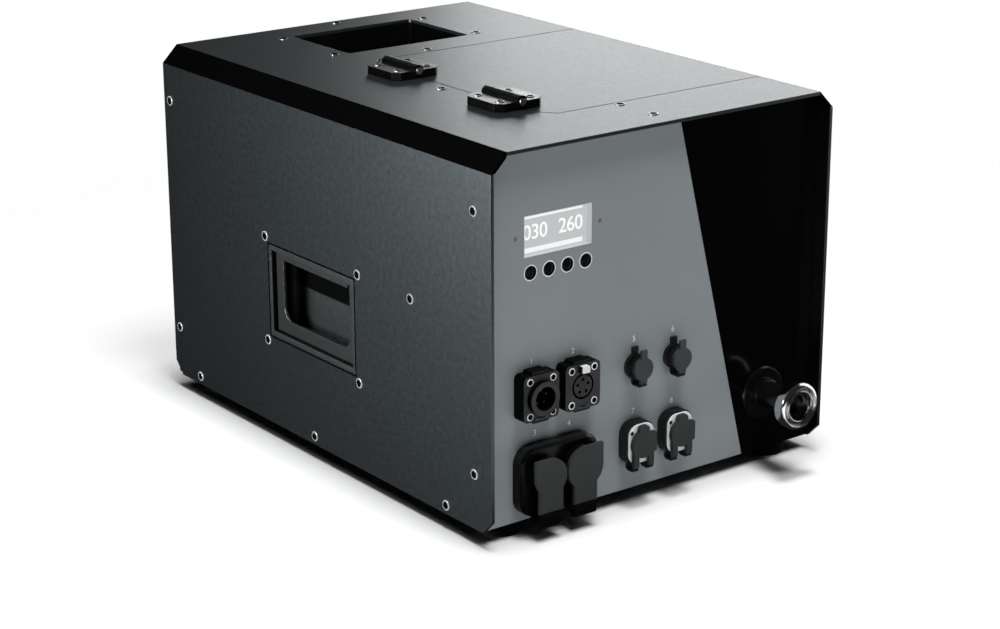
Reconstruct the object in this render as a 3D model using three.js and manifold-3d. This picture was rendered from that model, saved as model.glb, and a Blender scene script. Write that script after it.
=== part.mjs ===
// Stage flame machine: a sheet metal housing with a flame well in its roof, a hinged service lid,
// recessed carrying handles, and a recessed front panel with a display, buttons, capped sockets and
// a fuel coupling. Inside are the fuel tank, pump, valve, nozzle, igniter and electronics.
// Millimetres. X runs to the right seen from the front, Y to the back, Z up. Z is zero on the floor.

import * as THREE from 'three';
import { mergeVertices } from 'three/addons/utils/BufferGeometryUtils.js';
import Module from 'manifold-3d';

const wasm = await Module();
wasm.setup();

// Housing
const shellWidth = 300;
const shellDepth = 413;
const shellHeight = 261;
const footHeight = 11;
const sheet = 2.5;
const edgeChamfer = 13;
const panelRecess = 11.5;
const sideCornerCut = 10;
const foldDepth = 16;
const railFlange = 10;

// Clearances and cutting
const seat = 0.3;
const lidSeam = 1;
const overrun = 1;
const weld = 1e-4;

// Facets
const roundSides = 24;
const midSides = 16;
const smallSides = 12;
const contactSides = 6;
const arcSteps = 3;
const ventSteps = 1;
const tubeSides = 8;
const wireSteps = 6;

// Feet
const footRadius = 15;
const footTaper = 2;
const footInset = 28;

// Carrying handles
const handleAcross = 110.5;
const handleTall = 70;
const handleY = 7.2;
const handleAboveShell = 104.4;
const handleRimSide = 2.8;
const handleRimTop = 4;
const handleFlange = 10;
const handleDepth = 26;
const gripDepth = 4.5;
const gripSheet = 2;
const gripFrameAcross = 24.5;
const gripFrameTall = 24.5;
const gripOpeningRise = 1.6;
const gripCornerRadius = 10;
const gripNotchAcross = 3;
const gripNotchTall = 2.5;

// Service lid and its hinges
const lidLeft = -57.5;
const lidFront = -145;
const lidBack = 67;
const lidClipAcross = 11;
const lidClipLong = 13.5;
const ledgeAcross = 5;
const ledgeLap = 3;
const ledgeThick = 1.5;
const lidRibTall = 9;
const lidRibInset = 8;
const lidRibEndInset = 24;
const hingeBesideLid = 2.5;
const rearHingeY = 18;
const frontHingeY = -102.3;
const hingeLength = 40;
const leafAcross = 20;
const leafThick = 6;
const leafClip = 5;
const barrelRadius = 4.4;
const barrelRise = 5.6;
const knuckleEnd = 9;
const knuckleGap = 0.4;
const pinRadius = 1.8;
const pinHeadRadius = 2.6;
const pinHead = 1;

// Flame well
const wellX = 2.6;
const wellBehindLid = 4;
const wellAcross = 111;
const wellLong = 79;
const wellDeep = 54;
const wellWall = 2;
const wellCorner = 3;
const wellFlangeAcross = 147;
const nutSides = 6;
const nozzleStem = 5;
const nozzleNut = 10;
const nozzleNutTall = 6;
const nozzleBody = 7;
const nozzleTip = 3;
const nozzleTall = 21;
const nozzleOrifice = 0.9;
const nozzleOrificeDeep = 6;
const nozzleTail = 8;
const igniterBehind = 26;
const igniterSpread = 14;
const igniterPlateAcross = 34;
const igniterPlateLong = 14;
const igniterPlateThick = 3;
const ceramicRadius = 3.5;
const ceramicTall = 17;
const ceramicTail = 9;
const electrodeRadius = 1.2;
const electrodeRise = 10;
const electrodeGap = 3;

// Display, buttons and their board
const displayFromSide = 64;
const displayAboveShell = 197.9;
const displayAcross = 57;
const displayTall = 28.5;
const displayRecess = 5;
const displayFrame = 3;
const windowThick = 1;
const boardAcross = 84;
const boardTall = 62;
const boardThick = 1.6;
const boardSetback = 8;
const boardDrop = 8;
const standoffRadius = 2.5;
const standoffInset = 4;
const buttonPitch = 15.45;
const buttonRow = 4;
const buttonAboveShell = 173.1;
const buttonRadius = 4.3;
const buttonDish = 1.2;
const buttonSunk = 1.2;
const buttonHole = 4.65;
const buttonStem = 1.8;
const buttonTravel = 1.2;
const switchSize = 6;
const statusHole = 1.6;
const statusBeside = 35.3;
const statusAboveShell = 198.2;

// Data sockets
const dataFromSide = 41.9;
const dataSpread = 35.1;
const dataAboveShell = 89.8;
const dataAcross = 29.6;
const dataTall = 32.3;
const dataCorner = 3.5;
const dataReach = 11;
const dataRibAcross = 15;
const dataRibTall = 1.8;
const dataRingRadius = 12;
const dataRingReach = 4.5;
const dataBoreRadius = 8.3;
const dataBoreDeep = 15;
const dataInsertRadius = 7.7;
const dataGrooveRadius = 9.2;
const dataGrooveDeep = 4;
const dataTailRadius = 11.4;
const dataTailLong = 22;
const contactCount = 5;
const contactRadius = 0.95;
const contactCircle = 4.7;
const contactLong = 9;
const contactOpenShare = 0.2;
const latchAcross = 8;
const latchTall = 4.6;
const latchRise = 12.4;
const latchDeep = 8;
const latchReach = 3.6;
const latchTravel = 1.5;

// Mains sockets
const mainsFromSide = 59.4;
const mainsAboveShell = 29.5;
const mainsAcross = 66.6;
const mainsTall = 49;
const mainsCorner = 12;
const mainsReach = 10;
const mainsEdge = 2;
const mainsCollarReach = 15.5;
const mainsCoverReach = 19;
const mainsCoverThick = 3;
const mainsSpread = 29.2;
const mainsSocketRise = 5;
const inletCollar = 11.5;
const inletBore = 9.3;
const outletCollar = 13.5;
const outletBore = 11.3;
const mainsBoreDeep = 16;
const mainsPost = 3.2;
const mainsPostLong = 4;
const inletCover = 13;
const outletCover = 15;
const mainsStemAcross = 19.4;
const mainsCoverBottom = 10.6;
const mainsStrapThick = 1.8;
const mainsStrapDrop = 5.2;
const mainsTailAcross = 52;
const mainsTailTall = 26;
const mainsTailLong = 26;

// Arming sockets
const armFromSide = 130.5;
const armSpread = 35;
const armAboveShell = 35.5;
const armAcross = 25;
const armTall = 31;
const armCorner = 9;
const armReach = 8.3;
const armCollarRadius = 9.2;
const armCollarReach = 9.8;
const armCoverRadius = 10.2;
const armEarFrom = 4.7;
const armEarTo = 11.2;
const armEarRise = 7.2;
const armEarCorner = 1.5;
const armCoverThick = 3;
const armCoverLift = 0.6;
const armTabAcross = 9;
const armTabRise = 14;
const armTabCorner = 3;
const armLegSpread = 13.2;
const armLegAcross = 4.5;
const armLegDrop = 15.1;
const armStrapThick = 1.7;
const armStrapDrop = 2.4;
const armBoreRadius = 7.6;
const armBoreDeep = 12;
const armContactCircle = 3.6;
const armContactCount = 4;
const armContactLong = 4;
const armTailRadius = 10.6;
const armTailLong = 20;

// Trigger sockets
const triggerAboveShell = 90;
const triggerBaseRadius = 9;
const triggerBaseThick = 3.2;
const triggerCollarRadius = 6.8;
const triggerCollarReach = 8.8;
const triggerBore = 4.3;
const triggerBoreDeep = 11;
const triggerCapRadius = 8.1;
const triggerCapThick = 2.4;
const triggerTabAcross = 5.2;
const triggerTabRise = 13.6;
const triggerTabThick = 1.8;
const triggerStrapAcross = 5.8;
const triggerStrapThick = 1.4;
const triggerStrapDrop = 9.4;
const triggerStrapLow = 2.6;
const triggerTailRadius = 6.4;
const triggerTailLong = 15;

// Play between a strap's end and the foot of its cover
const coverPlay = 0.4;

// Fuel coupling
const couplingFromSide = 48.6;
const couplingAboveShell = 43.6;
const couplingFlange = 19.6;
const couplingFlangeThick = 2.2;
const couplingStepRadius = 11.4;
const couplingStepThick = 3.4;
const couplingNeck = 10;
const couplingNeckReach = 35.4;
const couplingBore = 7.6;
const couplingBoreDeep = 17;
const couplingTail = 9;
const couplingTailLong = 16;
const couplingBarb = 5;
const couplingBarbLong = 12;
const sleeveRadius = 17.4;
const sleeveRound = 2.6;
const sleeveLong = 10.6;
const sleeveReach = 40.6;
const sleeveLip = 11.9;
const sleeveGroove = 13;
const sleeveGrooveDeep = 3;
const sleeveStep = 14.3;
const sleeveStepSunk = 1;
const poppetHeadThick = 3;
const poppetStem = 2;
const poppetStemLong = 9;
const poppetTravel = 5;

// Fuel tank and cap
const tankLeft = -48;
const tankY = -38;
const tankBesideCup = 1.5;
const tankLong = 176;
const tankTall = 160;
const tankCorner = 4;
const tankEdge = 2.4;
const tankWall = 2;
const tankNeck = 22;
const tankNeckTall = 26;
const capRadius = 29;
const capTall = 17;
const capLobes = 12;
const capLobeDeep = 2.2;
const capTop = 4;
const tankBarb = 5;
const tankBarbLong = 10;
const tankOutletRise = 20;
const tankInletRise = 130;

// Pump
const pumpFromSide = 58;
const motorRadius = 28;
const motorBehindRoom = 14;
const motorBellRadius = 24;
const motorBellLong = 8;
const motorBehindTank = 54;
const motorFootAcross = 46;
const motorFootLong = 56;
const pumpHeadAcross = 50;
const pumpHeadTall = 54;
const pumpHeadLong = 24;
const pumpHeadCorner = 5;
const portRadius = 5;
const portLong = 10;

// Valve
const valveAcross = 30;
const valveTall = 26;
const coilRadius = 16;
const coilTall = 34;
const valvePortDrop = 14;

// Hoses
const hoseRadius = 6.4;
const hoseSteps = 14;
const hoseStraight = 12;

// Electronics
const supplyAcross = 98;
const supplyLong = 118;
const supplyTall = 38;
const supplyBesideWall = 10.2;
const supplyY = 128;
const supplyStripTall = 16;
const supplyStripLong = 14;
const supplySlot = 3;
const supplySlotCount = 7;
const supplySlotPitch = 9;
const coilBoxAcross = 62;
const coilBoxTall = 46;
const coilBoxDrop = 10;
const coilBoxBehindValve = 4.5;
const coilPost = 3.2;
const mainBoardLong = 118;
const mainBoardTall = 86;
const mainBoardY = -118;
const mainBoardAboveShell = 188;
const chipTall = 9;
const chipShares = [[-0.3, 0.25, 0.24, 0.3], [0.18, 0.2, 0.34, 0.36], [-0.2, -0.28, 0.4, 0.2],
  [0.3, -0.3, 0.16, 0.22]];

// Rear vents
const ventCount = 7;
const ventAcross = 60;
const ventTall = 3;
const ventPitch = 8;
const ventX = -70;
const ventAboveShell = 34;

// Places that follow from the housing
const halfWidth = shellWidth / 2;
const halfDepth = shellDepth / 2;
const shellBottom = footHeight;
const shellTop = shellBottom + shellHeight;
const frontRim = -halfDepth;
const backRim = halfDepth;
const panelFront = frontRim + panelRecess;
const panelBack = panelFront + sheet;
const insideX = halfWidth - sheet - seat;
const underTop = shellTop - sheet - seat;
const floorTop = shellBottom + sheet;
const backPanelFront = backRim - sheet;
const roofEdge = halfWidth - edgeChamfer;
const sideTop = shellTop - edgeChamfer;

// The flame well's bay between the lid and the back panel
const wellBayFront = lidBack + wellBehindLid;
const wellFlangeLong = backPanelFront - wellBayFront;
const wellY = (wellBayFront + backPanelFront) / 2;

// Places across the machine, each measured from the side that it stands by
const displayX = displayFromSide - halfWidth;
const statusPlaces = [displayX - statusBeside, displayX + statusBeside];
const dataInX = dataFromSide - halfWidth;
const dataOutX = dataInX + dataSpread;
const mainsX = mainsFromSide - halfWidth;
const armInX = armFromSide - halfWidth;
const armOutX = armInX + armSpread;
const couplingX = halfWidth - couplingFromSide;
const pumpX = halfWidth - pumpFromSide;
const tankRight = halfWidth - handleDepth - sheet - tankBesideCup;
const tankX = (tankLeft + tankRight) / 2;
const tankAcross = tankRight - tankLeft;
const supplyX = supplyBesideWall + supplyAcross / 2 - insideX;

// Turning a three.js geometry into a solid and back
function toSolid(geometry) {
  const bare = geometry.clone();
  bare.deleteAttribute('normal');
  bare.deleteAttribute('uv');
  const merged = mergeVertices(bare, weld);
  const corners = Array.from(merged.index.array);
  const kept = [];
  for (let i = 0; i < corners.length; i += 3) {
    const [a, b, c] = corners.slice(i, i + 3);
    if (a !== b && b !== c && c !== a) kept.push(a, b, c);
  }
  return new wasm.Manifold(new wasm.Mesh({
    numProp: 3,
    vertProperties: new Float32Array(merged.attributes.position.array),
    triVerts: new Uint32Array(kept),
  }));
}

function toGeometry(solid) {
  const mesh = solid.getMesh();
  const geometry = new THREE.BufferGeometry();
  geometry.setAttribute('position', new THREE.BufferAttribute(new Float32Array(mesh.vertProperties), 3));
  geometry.setIndex(new THREE.BufferAttribute(new Uint32Array(mesh.triVerts), 1));
  geometry.computeVertexNormals();
  return geometry;
}

function join(...solids) {
  return solids.reduce((whole, piece) => whole.add(piece));
}

function cut(base, ...tools) {
  return tools.reduce((rest, tool) => rest.subtract(tool), base);
}

// A block between two opposite corners
function block(x0, x1, y0, y1, z0, z1) {
  const geometry = new THREE.BoxGeometry(Math.abs(x1 - x0), Math.abs(y1 - y0), Math.abs(z1 - z0));
  geometry.translate((x0 + x1) / 2, (y0 + y1) / 2, (z0 + z1) / 2);
  return toSolid(geometry);
}

// A drawn outline extruded between two places along one axis. The outline's own axes are
// Y and Z along X, X and Z along Y, and X and Y along Z.
const upright = {
  x: new THREE.Matrix4().makeBasis(
    new THREE.Vector3(0, 1, 0), new THREE.Vector3(0, 0, 1), new THREE.Vector3(1, 0, 0)),
  y: new THREE.Matrix4().makeBasis(
    new THREE.Vector3(1, 0, 0), new THREE.Vector3(0, 0, 1), new THREE.Vector3(0, -1, 0)),
  z: new THREE.Matrix4(),
};

function slab(axis, shape, from, to, bevel = 0, steps = arcSteps) {
  const low = Math.min(from, to);
  const high = Math.max(from, to);
  const geometry = new THREE.ExtrudeGeometry(shape, {
    depth: high - low - 2 * bevel,
    bevelEnabled: bevel > 0,
    bevelThickness: bevel,
    bevelSize: bevel,
    bevelOffset: -bevel,
    bevelSegments: 1,
    curveSegments: steps,
  });
  geometry.translate(0, 0, bevel);
  geometry.applyMatrix4(upright[axis]);
  const start = { x: [low, 0, 0], y: [0, high, 0], z: [0, 0, low] }[axis];
  geometry.translate(...start);
  return toSolid(geometry);
}

// A profile of [radius, height] points turned about an axis through a centre
function turned(axis, centre, profile, sides = roundSides) {
  let area = 0;
  profile.forEach(([r, h], i) => {
    const [nextR, nextH] = profile[(i + 1) % profile.length];
    area += r * nextH - nextR * h;
  });
  const ordered = area > 0 ? profile : [...profile].reverse();
  const closed = [...ordered, ordered[0]];
  const geometry = new THREE.LatheGeometry(closed.map(([r, h]) => new THREE.Vector2(r, h)), sides);
  if (axis === 'z') geometry.rotateX(Math.PI / 2);
  if (axis === 'x') geometry.rotateZ(-Math.PI / 2);
  geometry.translate(...centre);
  return toSolid(geometry);
}

function rod(axis, centre, radius, from, to, sides = roundSides) {
  return turned(axis, centre, [[0, from], [radius, from], [radius, to], [0, to]], sides);
}

// Outlines
function polygon(points) {
  return new THREE.Shape(points.map(([u, v]) => new THREE.Vector2(u, v)));
}

function rounded(centreU, centreV, across, tall, radius) {
  const left = centreU - across / 2;
  const right = centreU + across / 2;
  const low = centreV - tall / 2;
  const high = centreV + tall / 2;
  const shape = new THREE.Shape();
  shape.moveTo(left + radius, low);
  shape.lineTo(right - radius, low);
  shape.absarc(right - radius, low + radius, radius, -Math.PI / 2, 0);
  shape.lineTo(right, high - radius);
  shape.absarc(right - radius, high - radius, radius, 0, Math.PI / 2);
  shape.lineTo(left + radius, high);
  shape.absarc(left + radius, high - radius, radius, Math.PI / 2, Math.PI);
  shape.lineTo(left, low + radius);
  shape.absarc(left + radius, low + radius, radius, Math.PI, 1.5 * Math.PI);
  return shape;
}

// Contacts spread round part of a circle, open at the bottom
function contactPlaces(x, z, count, circle) {
  const turn = 2 * Math.PI * (1 - contactOpenShare) / (count - 1);
  const start = -Math.PI / 2 + Math.PI * contactOpenShare;
  return Array.from({ length: count }, (_, i) => {
    const angle = start + turn * i;
    return [x + circle * Math.cos(angle), z + circle * Math.sin(angle)];
  });
}

// Finishes
const finishes = {
  greySheet: [0x5b6165, 0.55, 0.5],
  blackSheet: [0x111213, 0.7, 0.3],
  blackPlastic: [0x17191a, 0.6, 0],
  rubber: [0x202323, 0.85, 0],
  steel: [0xa8abad, 0.35, 1],
  chrome: [0xdfe2e4, 0.08, 1],
  brass: [0xb08d4a, 0.35, 1],
  ceramic: [0xe8e4d8, 0.5, 0],
  glass: [0xdfe6ea, 0.1, 0],
  board: [0x1f4a33, 0.6, 0],
  tank: [0xb8bcbf, 0.4, 0.9],
  hose: [0x1c1c1c, 0.8, 0],
};

const machine = new THREE.Group();

function place(name, solid, finish) {
  const [color, roughness, metalness] = finishes[finish];
  const mesh = new THREE.Mesh(toGeometry(solid),
    new THREE.MeshStandardMaterial({ color, roughness, metalness }));
  mesh.name = name;
  machine.add(mesh);
}

// Side panels: flat plates with cut lower corners and the handle's opening
const handleZ = shellBottom + handleAboveShell;

function sidePanel(side) {
  const outline = polygon([
    [frontRim + sideCornerCut, shellBottom], [backRim - sideCornerCut, shellBottom],
    [backRim, shellBottom + sideCornerCut], [backRim, sideTop],
    [frontRim, sideTop], [frontRim, shellBottom + sideCornerCut],
  ]);
  const plate = slab('x', outline, side * halfWidth, side * (halfWidth - sheet));
  const opening = block(side * (halfWidth + overrun), side * (halfWidth - sheet - overrun),
    handleY - handleAcross / 2, handleY + handleAcross / 2,
    handleZ - handleTall / 2, handleZ + handleTall / 2);
  return cut(plate, opening);
}

// Edge rails: folded strips that close the roof's long chamfers, with a flange under the roof plate
// and one inside the side panel
const railLow = sideTop + seat;
const railRoof = roofEdge + seat;
const railInner = halfWidth - sheet * Math.SQRT2;

function edgeRail(side) {
  const web = slab('y', polygon([
    [side * halfWidth, railLow], [side * railRoof, shellTop],
    [side * railRoof, shellTop - sheet * Math.SQRT2], [side * railInner, railLow],
  ]), frontRim, backRim);
  const front = panelBack + seat;
  const back = backPanelFront - seat;
  const roofFlange = block(side * (roofEdge - railFlange), side * (roofEdge + sheet), front, back,
    underTop - sheet, underTop);
  const sideFlange = block(side * (insideX - sheet), side * insideX, front, back,
    railLow - railFlange, railLow + sheet);
  return join(web, roofFlange, sideFlange);
}

place('left_side_panel', sidePanel(-1), 'greySheet');
place('right_side_panel', sidePanel(1), 'greySheet');
place('left_edge_rail', edgeRail(-1), 'blackSheet');
place('right_edge_rail', edgeRail(1), 'blackSheet');

// Bottom tray with folded sides
function bottomPlate() {
  const front = panelBack + seat;
  const back = backPanelFront - seat;
  const tray = block(-insideX, insideX, front, back, shellBottom, shellBottom + foldDepth);
  const hollow = block(-insideX + sheet, insideX - sheet, front - overrun, back + overrun,
    floorTop, shellBottom + foldDepth + overrun);
  return cut(tray, hollow);
}

place('bottom_plate', bottomPlate(), 'blackSheet');

// Lid outline in plan, grown or shrunk by the seam
function lidOutline(grow, right) {
  const left = lidLeft - grow;
  const front = lidFront - grow;
  const back = lidBack + grow;
  return polygon([
    [left + lidClipAcross, front], [right, front], [right, back],
    [left + lidClipAcross, back], [left, back - lidClipLong], [left, front + lidClipLong],
  ]);
}

// Roof plate with the flame opening and the service hatch
function topPlate() {
  const plate = block(-roofEdge, roofEdge, frontRim, backRim, shellTop - sheet, shellTop);
  const flame = slab('z', rounded(wellX, wellY, wellAcross, wellLong, wellCorner),
    shellTop - sheet - overrun, shellTop + overrun);
  const hatch = slab('z', lidOutline(lidSeam / 2, roofEdge + overrun),
    shellTop - sheet - overrun, shellTop + overrun);
  const right = roofEdge - railFlange - ledgeAcross;
  const bed = slab('z', lidOutline(ledgeLap, right), underTop - ledgeThick, underTop + weld);
  const lap = slab('z', lidOutline(ledgeLap, right), underTop, shellTop - sheet + weld);
  const reach = slab('z', lidOutline(-ledgeAcross, roofEdge), underTop - ledgeThick - overrun, shellTop);
  return join(cut(plate, flame, hatch), cut(bed, reach), cut(lap, hatch));
}

place('top_plate', topPlate(), 'greySheet');

// Feet
function foot(x, y) {
  const top = footHeight - seat;
  return turned('z', [x, y, 0], [[0, 0], [footRadius - footTaper, 0], [footRadius, top], [0, top]]);
}

const footX = halfWidth - footInset;
const footY = halfDepth - footInset;
place('front_left_foot', foot(-footX, -footY), 'rubber');
place('front_right_foot', foot(footX, -footY), 'rubber');
place('back_left_foot', foot(-footX, footY), 'rubber');
place('back_right_foot', foot(footX, footY), 'rubber');

// Handles: a cup let into the side panel and a grip plate with a finger opening
const cupInnerAcross = handleAcross - 2 * handleRimSide;
const cupInnerTall = handleTall - 2 * handleRimTop;
const cupOuter = halfWidth;
const cupFloor = halfWidth - handleDepth;
const gripOpeningAcross = handleAcross - gripFrameAcross;
const gripOpeningTall = handleTall - gripFrameTall;

function centredX(side, from, to, across, tall) {
  return block(side * from, side * to, handleY - across / 2, handleY + across / 2,
    handleZ - tall / 2, handleZ + tall / 2);
}

function handleCup(side) {
  const rim = centredX(side, cupOuter, insideX - overrun, handleAcross - 2 * seat, handleTall - 2 * seat);
  const flange = centredX(side, insideX, insideX - sheet,
    handleAcross + 2 * handleFlange, handleTall + 2 * handleFlange);
  const tub = centredX(side, insideX, cupFloor - sheet, cupInnerAcross + 2 * sheet,
    cupInnerTall + 2 * sheet);
  const hollow = centredX(side, cupOuter + overrun, cupFloor, cupInnerAcross, cupInnerTall);
  return cut(join(rim, flange, tub), hollow);
}

function gripPlate(side) {
  const across = cupInnerAcross - 2 * seat;
  const tall = cupInnerTall - 2 * seat;
  const outer = halfWidth - gripDepth;
  const plate = centredX(side, outer, outer - gripSheet, across, tall);
  const half = gripOpeningAcross / 2;
  const high = handleZ + gripOpeningRise + gripOpeningTall / 2;
  const low = high - gripOpeningTall;
  const notch = -half + gripNotchAcross;
  const shape = new THREE.Shape();
  shape.moveTo(handleY - half, high + gripNotchTall);
  shape.lineTo(handleY - half, low + gripCornerRadius);
  shape.absarc(handleY - half + gripCornerRadius, low + gripCornerRadius, gripCornerRadius, Math.PI,
    1.5 * Math.PI);
  shape.lineTo(handleY + half - gripCornerRadius, low);
  shape.absarc(handleY + half - gripCornerRadius, low + gripCornerRadius, gripCornerRadius, -Math.PI / 2, 0);
  shape.lineTo(handleY + half, high);
  shape.lineTo(handleY + notch, high);
  shape.lineTo(handleY + notch, high + gripNotchTall);
  const opening = slab('x', shape, side * (outer + overrun), side * (outer - gripSheet - overrun));
  return cut(plate, opening);
}

place('left_handle_cup', handleCup(-1), 'greySheet');
place('left_grip_plate', gripPlate(-1), 'greySheet');
place('right_handle_cup', handleCup(1), 'greySheet');
place('right_grip_plate', gripPlate(1), 'greySheet');

// Front panel, recessed behind the rim, with folded sides and a cut-out for every fitting
const displayZ = shellBottom + displayAboveShell;
const buttonZ = shellBottom + buttonAboveShell;
const dataZ = shellBottom + dataAboveShell;
const mainsZ = shellBottom + mainsAboveShell;
const armZ = shellBottom + armAboveShell;
const triggerZ = shellBottom + triggerAboveShell;
const couplingZ = shellBottom + couplingAboveShell;
const statusZ = shellBottom + statusAboveShell;
const buttonPlaces = Array.from({ length: buttonRow },
  (_, i) => displayX + (i - (buttonRow - 1) / 2) * buttonPitch);

function endPanel(from, to, foldFrom, foldTo) {
  const corner = insideX + underTop - railInner - railLow + seat * Math.SQRT2;
  const outline = polygon([
    [-insideX, shellBottom], [insideX, shellBottom], [insideX, underTop - corner],
    [insideX - corner, underTop], [-insideX + corner, underTop], [-insideX, underTop - corner],
  ]);
  const folds = [-1, 1].map((side) => block(side * insideX, side * (insideX - sheet), foldFrom, foldTo,
    shellBottom + foldDepth + seat, sideTop - railFlange - seat));
  return join(slab('y', outline, from, to), ...folds);
}

function frontPanel() {
  const hole = (x, z, radius, sides = smallSides) => rod('y', [x, 0, z], radius,
    panelFront - overrun, panelBack + overrun, sides);
  const cuts = [
    block(displayX - displayAcross / 2, displayX + displayAcross / 2, panelFront - overrun,
      panelBack + overrun, displayZ - displayTall / 2, displayZ + displayTall / 2),
    slab('y', rounded(mainsX, mainsZ, mainsTailAcross + 2 * seat, mainsTailTall + 2 * seat, mainsEdge),
      panelFront - overrun, panelBack + overrun),
    ...buttonPlaces.map((x) => hole(x, buttonZ, buttonHole, midSides)),
    ...statusPlaces.map((x) => hole(x, statusZ, statusHole, contactSides)),
    hole(dataInX, dataZ, dataTailRadius + seat),
    hole(dataOutX, dataZ, dataTailRadius + seat),
    hole(armInX, armZ, armTailRadius + seat),
    hole(armOutX, armZ, armTailRadius + seat),
    hole(armInX, triggerZ, triggerTailRadius + seat),
    hole(armOutX, triggerZ, triggerTailRadius + seat),
    hole(couplingX, couplingZ, couplingTail + seat, roundSides),
  ];
  return cut(endPanel(panelFront, panelBack, panelFront, panelFront + foldDepth), ...cuts);
}

place('front_panel', frontPanel(), 'greySheet');

// Back panel, flush with the rim, folded forward at its sides, with a vent grille
function backPanel() {
  const vents = Array.from({ length: ventCount }, (_, i) => {
    const z = shellBottom + ventAboveShell + i * ventPitch;
    return slab('y', rounded(ventX, z, ventAcross, ventTall, ventTall / 2 - weld),
      backPanelFront - overrun, backRim + overrun, 0, ventSteps);
  });
  return cut(endPanel(backPanelFront, backRim, backRim - foldDepth, backRim), ...vents);
}

place('back_panel', backPanel(), 'greySheet');

// Service lid with two ribs folded down below it
function lid() {
  const plate = slab('z', lidOutline(-lidSeam / 2, roofEdge), shellTop - sheet, shellTop);
  const ribs = [lidFront + lidRibInset, lidBack - lidRibInset].map((y) => block(
    lidLeft + lidRibEndInset, roofEdge - lidRibEndInset, y - sheet / 2, y + sheet / 2,
    shellTop - sheet - lidRibTall, shellTop - sheet + weld));
  return join(plate, ...ribs);
}

place('service_lid', lid(), 'greySheet');

// Hinges: block leaves with knuckles round a pin. The fixed leaf has the two end knuckles.
const axisZ = shellTop + barrelRise;
const hingeX = lidLeft - hingeBesideLid;

function hingeLeaf(centreY, side) {
  const front = centreY - hingeLength / 2;
  const back = centreY + hingeLength / 2;
  const outer = hingeX + side * leafAcross;
  const outline = polygon([
    [hingeX, front], [outer - side * leafClip, front], [outer, front + leafClip],
    [outer, back - leafClip], [outer - side * leafClip, back], [hingeX, back],
  ]);
  const flat = slab('z', outline, shellTop + seat, shellTop + leafThick);
  const ends = [[front, front + knuckleEnd], [back - knuckleEnd, back]];
  const middle = [[front + knuckleEnd, back - knuckleEnd]];
  const own = side < 0 ? ends : middle;
  const other = side < 0 ? middle : ends;
  const shrink = side < 0 ? 0 : knuckleGap;
  const barrels = own.map(([a, b]) => rod('y', [hingeX, 0, axisZ], barrelRadius, a + shrink, b - shrink,
    midSides));
  const relief = (a, b) => rod('y', [hingeX, 0, axisZ], barrelRadius + knuckleGap, a, b, midSides);
  const reliefs = side < 0 ? other.map(([a, b]) => relief(a, b)) : [
    relief(front - overrun, front + knuckleEnd + knuckleGap),
    relief(back - knuckleEnd - knuckleGap, back + overrun),
  ];
  const bore = rod('y', [hingeX, 0, axisZ], pinRadius + seat, front - overrun, back + overrun, smallSides);
  return cut(join(cut(flat, ...reliefs), ...barrels), bore);
}

function hingePin(centreY) {
  const half = hingeLength / 2 + seat;
  return turned('y', [hingeX, centreY, axisZ], [
    [0, -half - pinHead], [pinHeadRadius, -half - pinHead], [pinHeadRadius, -half], [pinRadius, -half],
    [pinRadius, half], [pinHeadRadius, half], [pinHeadRadius, half + pinHead], [0, half + pinHead],
  ], smallSides);
}

place('rear_hinge_fixed_leaf', hingeLeaf(rearHingeY, -1), 'blackPlastic');
place('rear_hinge_lid_leaf', hingeLeaf(rearHingeY, 1), 'blackPlastic');
place('rear_hinge_pin', hingePin(rearHingeY), 'steel');
place('front_hinge_fixed_leaf', hingeLeaf(frontHingeY, -1), 'blackPlastic');
place('front_hinge_lid_leaf', hingeLeaf(frontHingeY, 1), 'blackPlastic');
place('front_hinge_pin', hingePin(frontHingeY), 'steel');

// Flame well hung under the roof, open at the top
const wellFloor = underTop - wellDeep;
const igniterY = wellY + igniterBehind;

function flameWell() {
  const flange = slab('z', rounded(wellX, wellY, wellFlangeAcross, wellFlangeLong - 2 * seat, wellCorner),
    underTop - wellWall, underTop);
  const tub = slab('z', rounded(wellX, wellY, wellAcross + 2 * wellWall, wellLong + 2 * wellWall,
    wellCorner + wellWall), wellFloor - wellWall, underTop);
  const hollow = slab('z', rounded(wellX, wellY, wellAcross, wellLong, wellCorner), wellFloor,
    underTop + overrun);
  const stemHole = rod('z', [wellX, wellY, 0], nozzleStem + seat, wellFloor - wellWall - overrun,
    wellFloor + overrun, midSides);
  const ceramicHoles = [-1, 1].map((side) => rod('z', [wellX + side * igniterSpread / 2, igniterY, 0],
    ceramicRadius + seat, wellFloor - wellWall - overrun, wellFloor + overrun, smallSides));
  return cut(join(flange, tub), hollow, stemHole, ...ceramicHoles);
}

function nozzle() {
  const base = wellFloor + seat;
  const nut = turned('z', [wellX, wellY, base], [
    [0, 0], [nozzleNut, 0], [nozzleNut, nozzleNutTall], [0, nozzleNutTall]], nutSides);
  const body = turned('z', [wellX, wellY, base], [
    [0, -nozzleTail], [nozzleStem, -nozzleTail], [nozzleStem, 0], [nozzleBody, 0],
    [nozzleBody, nozzleNutTall + nozzleBody], [nozzleTip, nozzleTall],
    [nozzleOrifice, nozzleTall], [nozzleOrifice, nozzleTall - nozzleOrificeDeep],
    [0, nozzleTall - nozzleOrificeDeep],
  ], midSides);
  return join(nut, body);
}

// A round bar along points, with straight ends
function bar(points, radius, sides = tubeSides, steps = hoseSteps) {
  const circle = new THREE.Shape();
  for (let i = 0; i < sides; i += 1) {
    const angle = 2 * Math.PI * i / sides;
    const spot = [radius * Math.cos(angle), radius * Math.sin(angle)];
    if (i === 0) circle.moveTo(...spot);
    else circle.lineTo(...spot);
  }
  const spots = points.map((p) => new THREE.Vector3(...p));
  const curve = new THREE.CatmullRomCurve3(spots, false, 'centripetal');
  return toSolid(new THREE.ExtrudeGeometry(circle, { steps, extrudePath: curve, bevelEnabled: false }));
}

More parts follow.
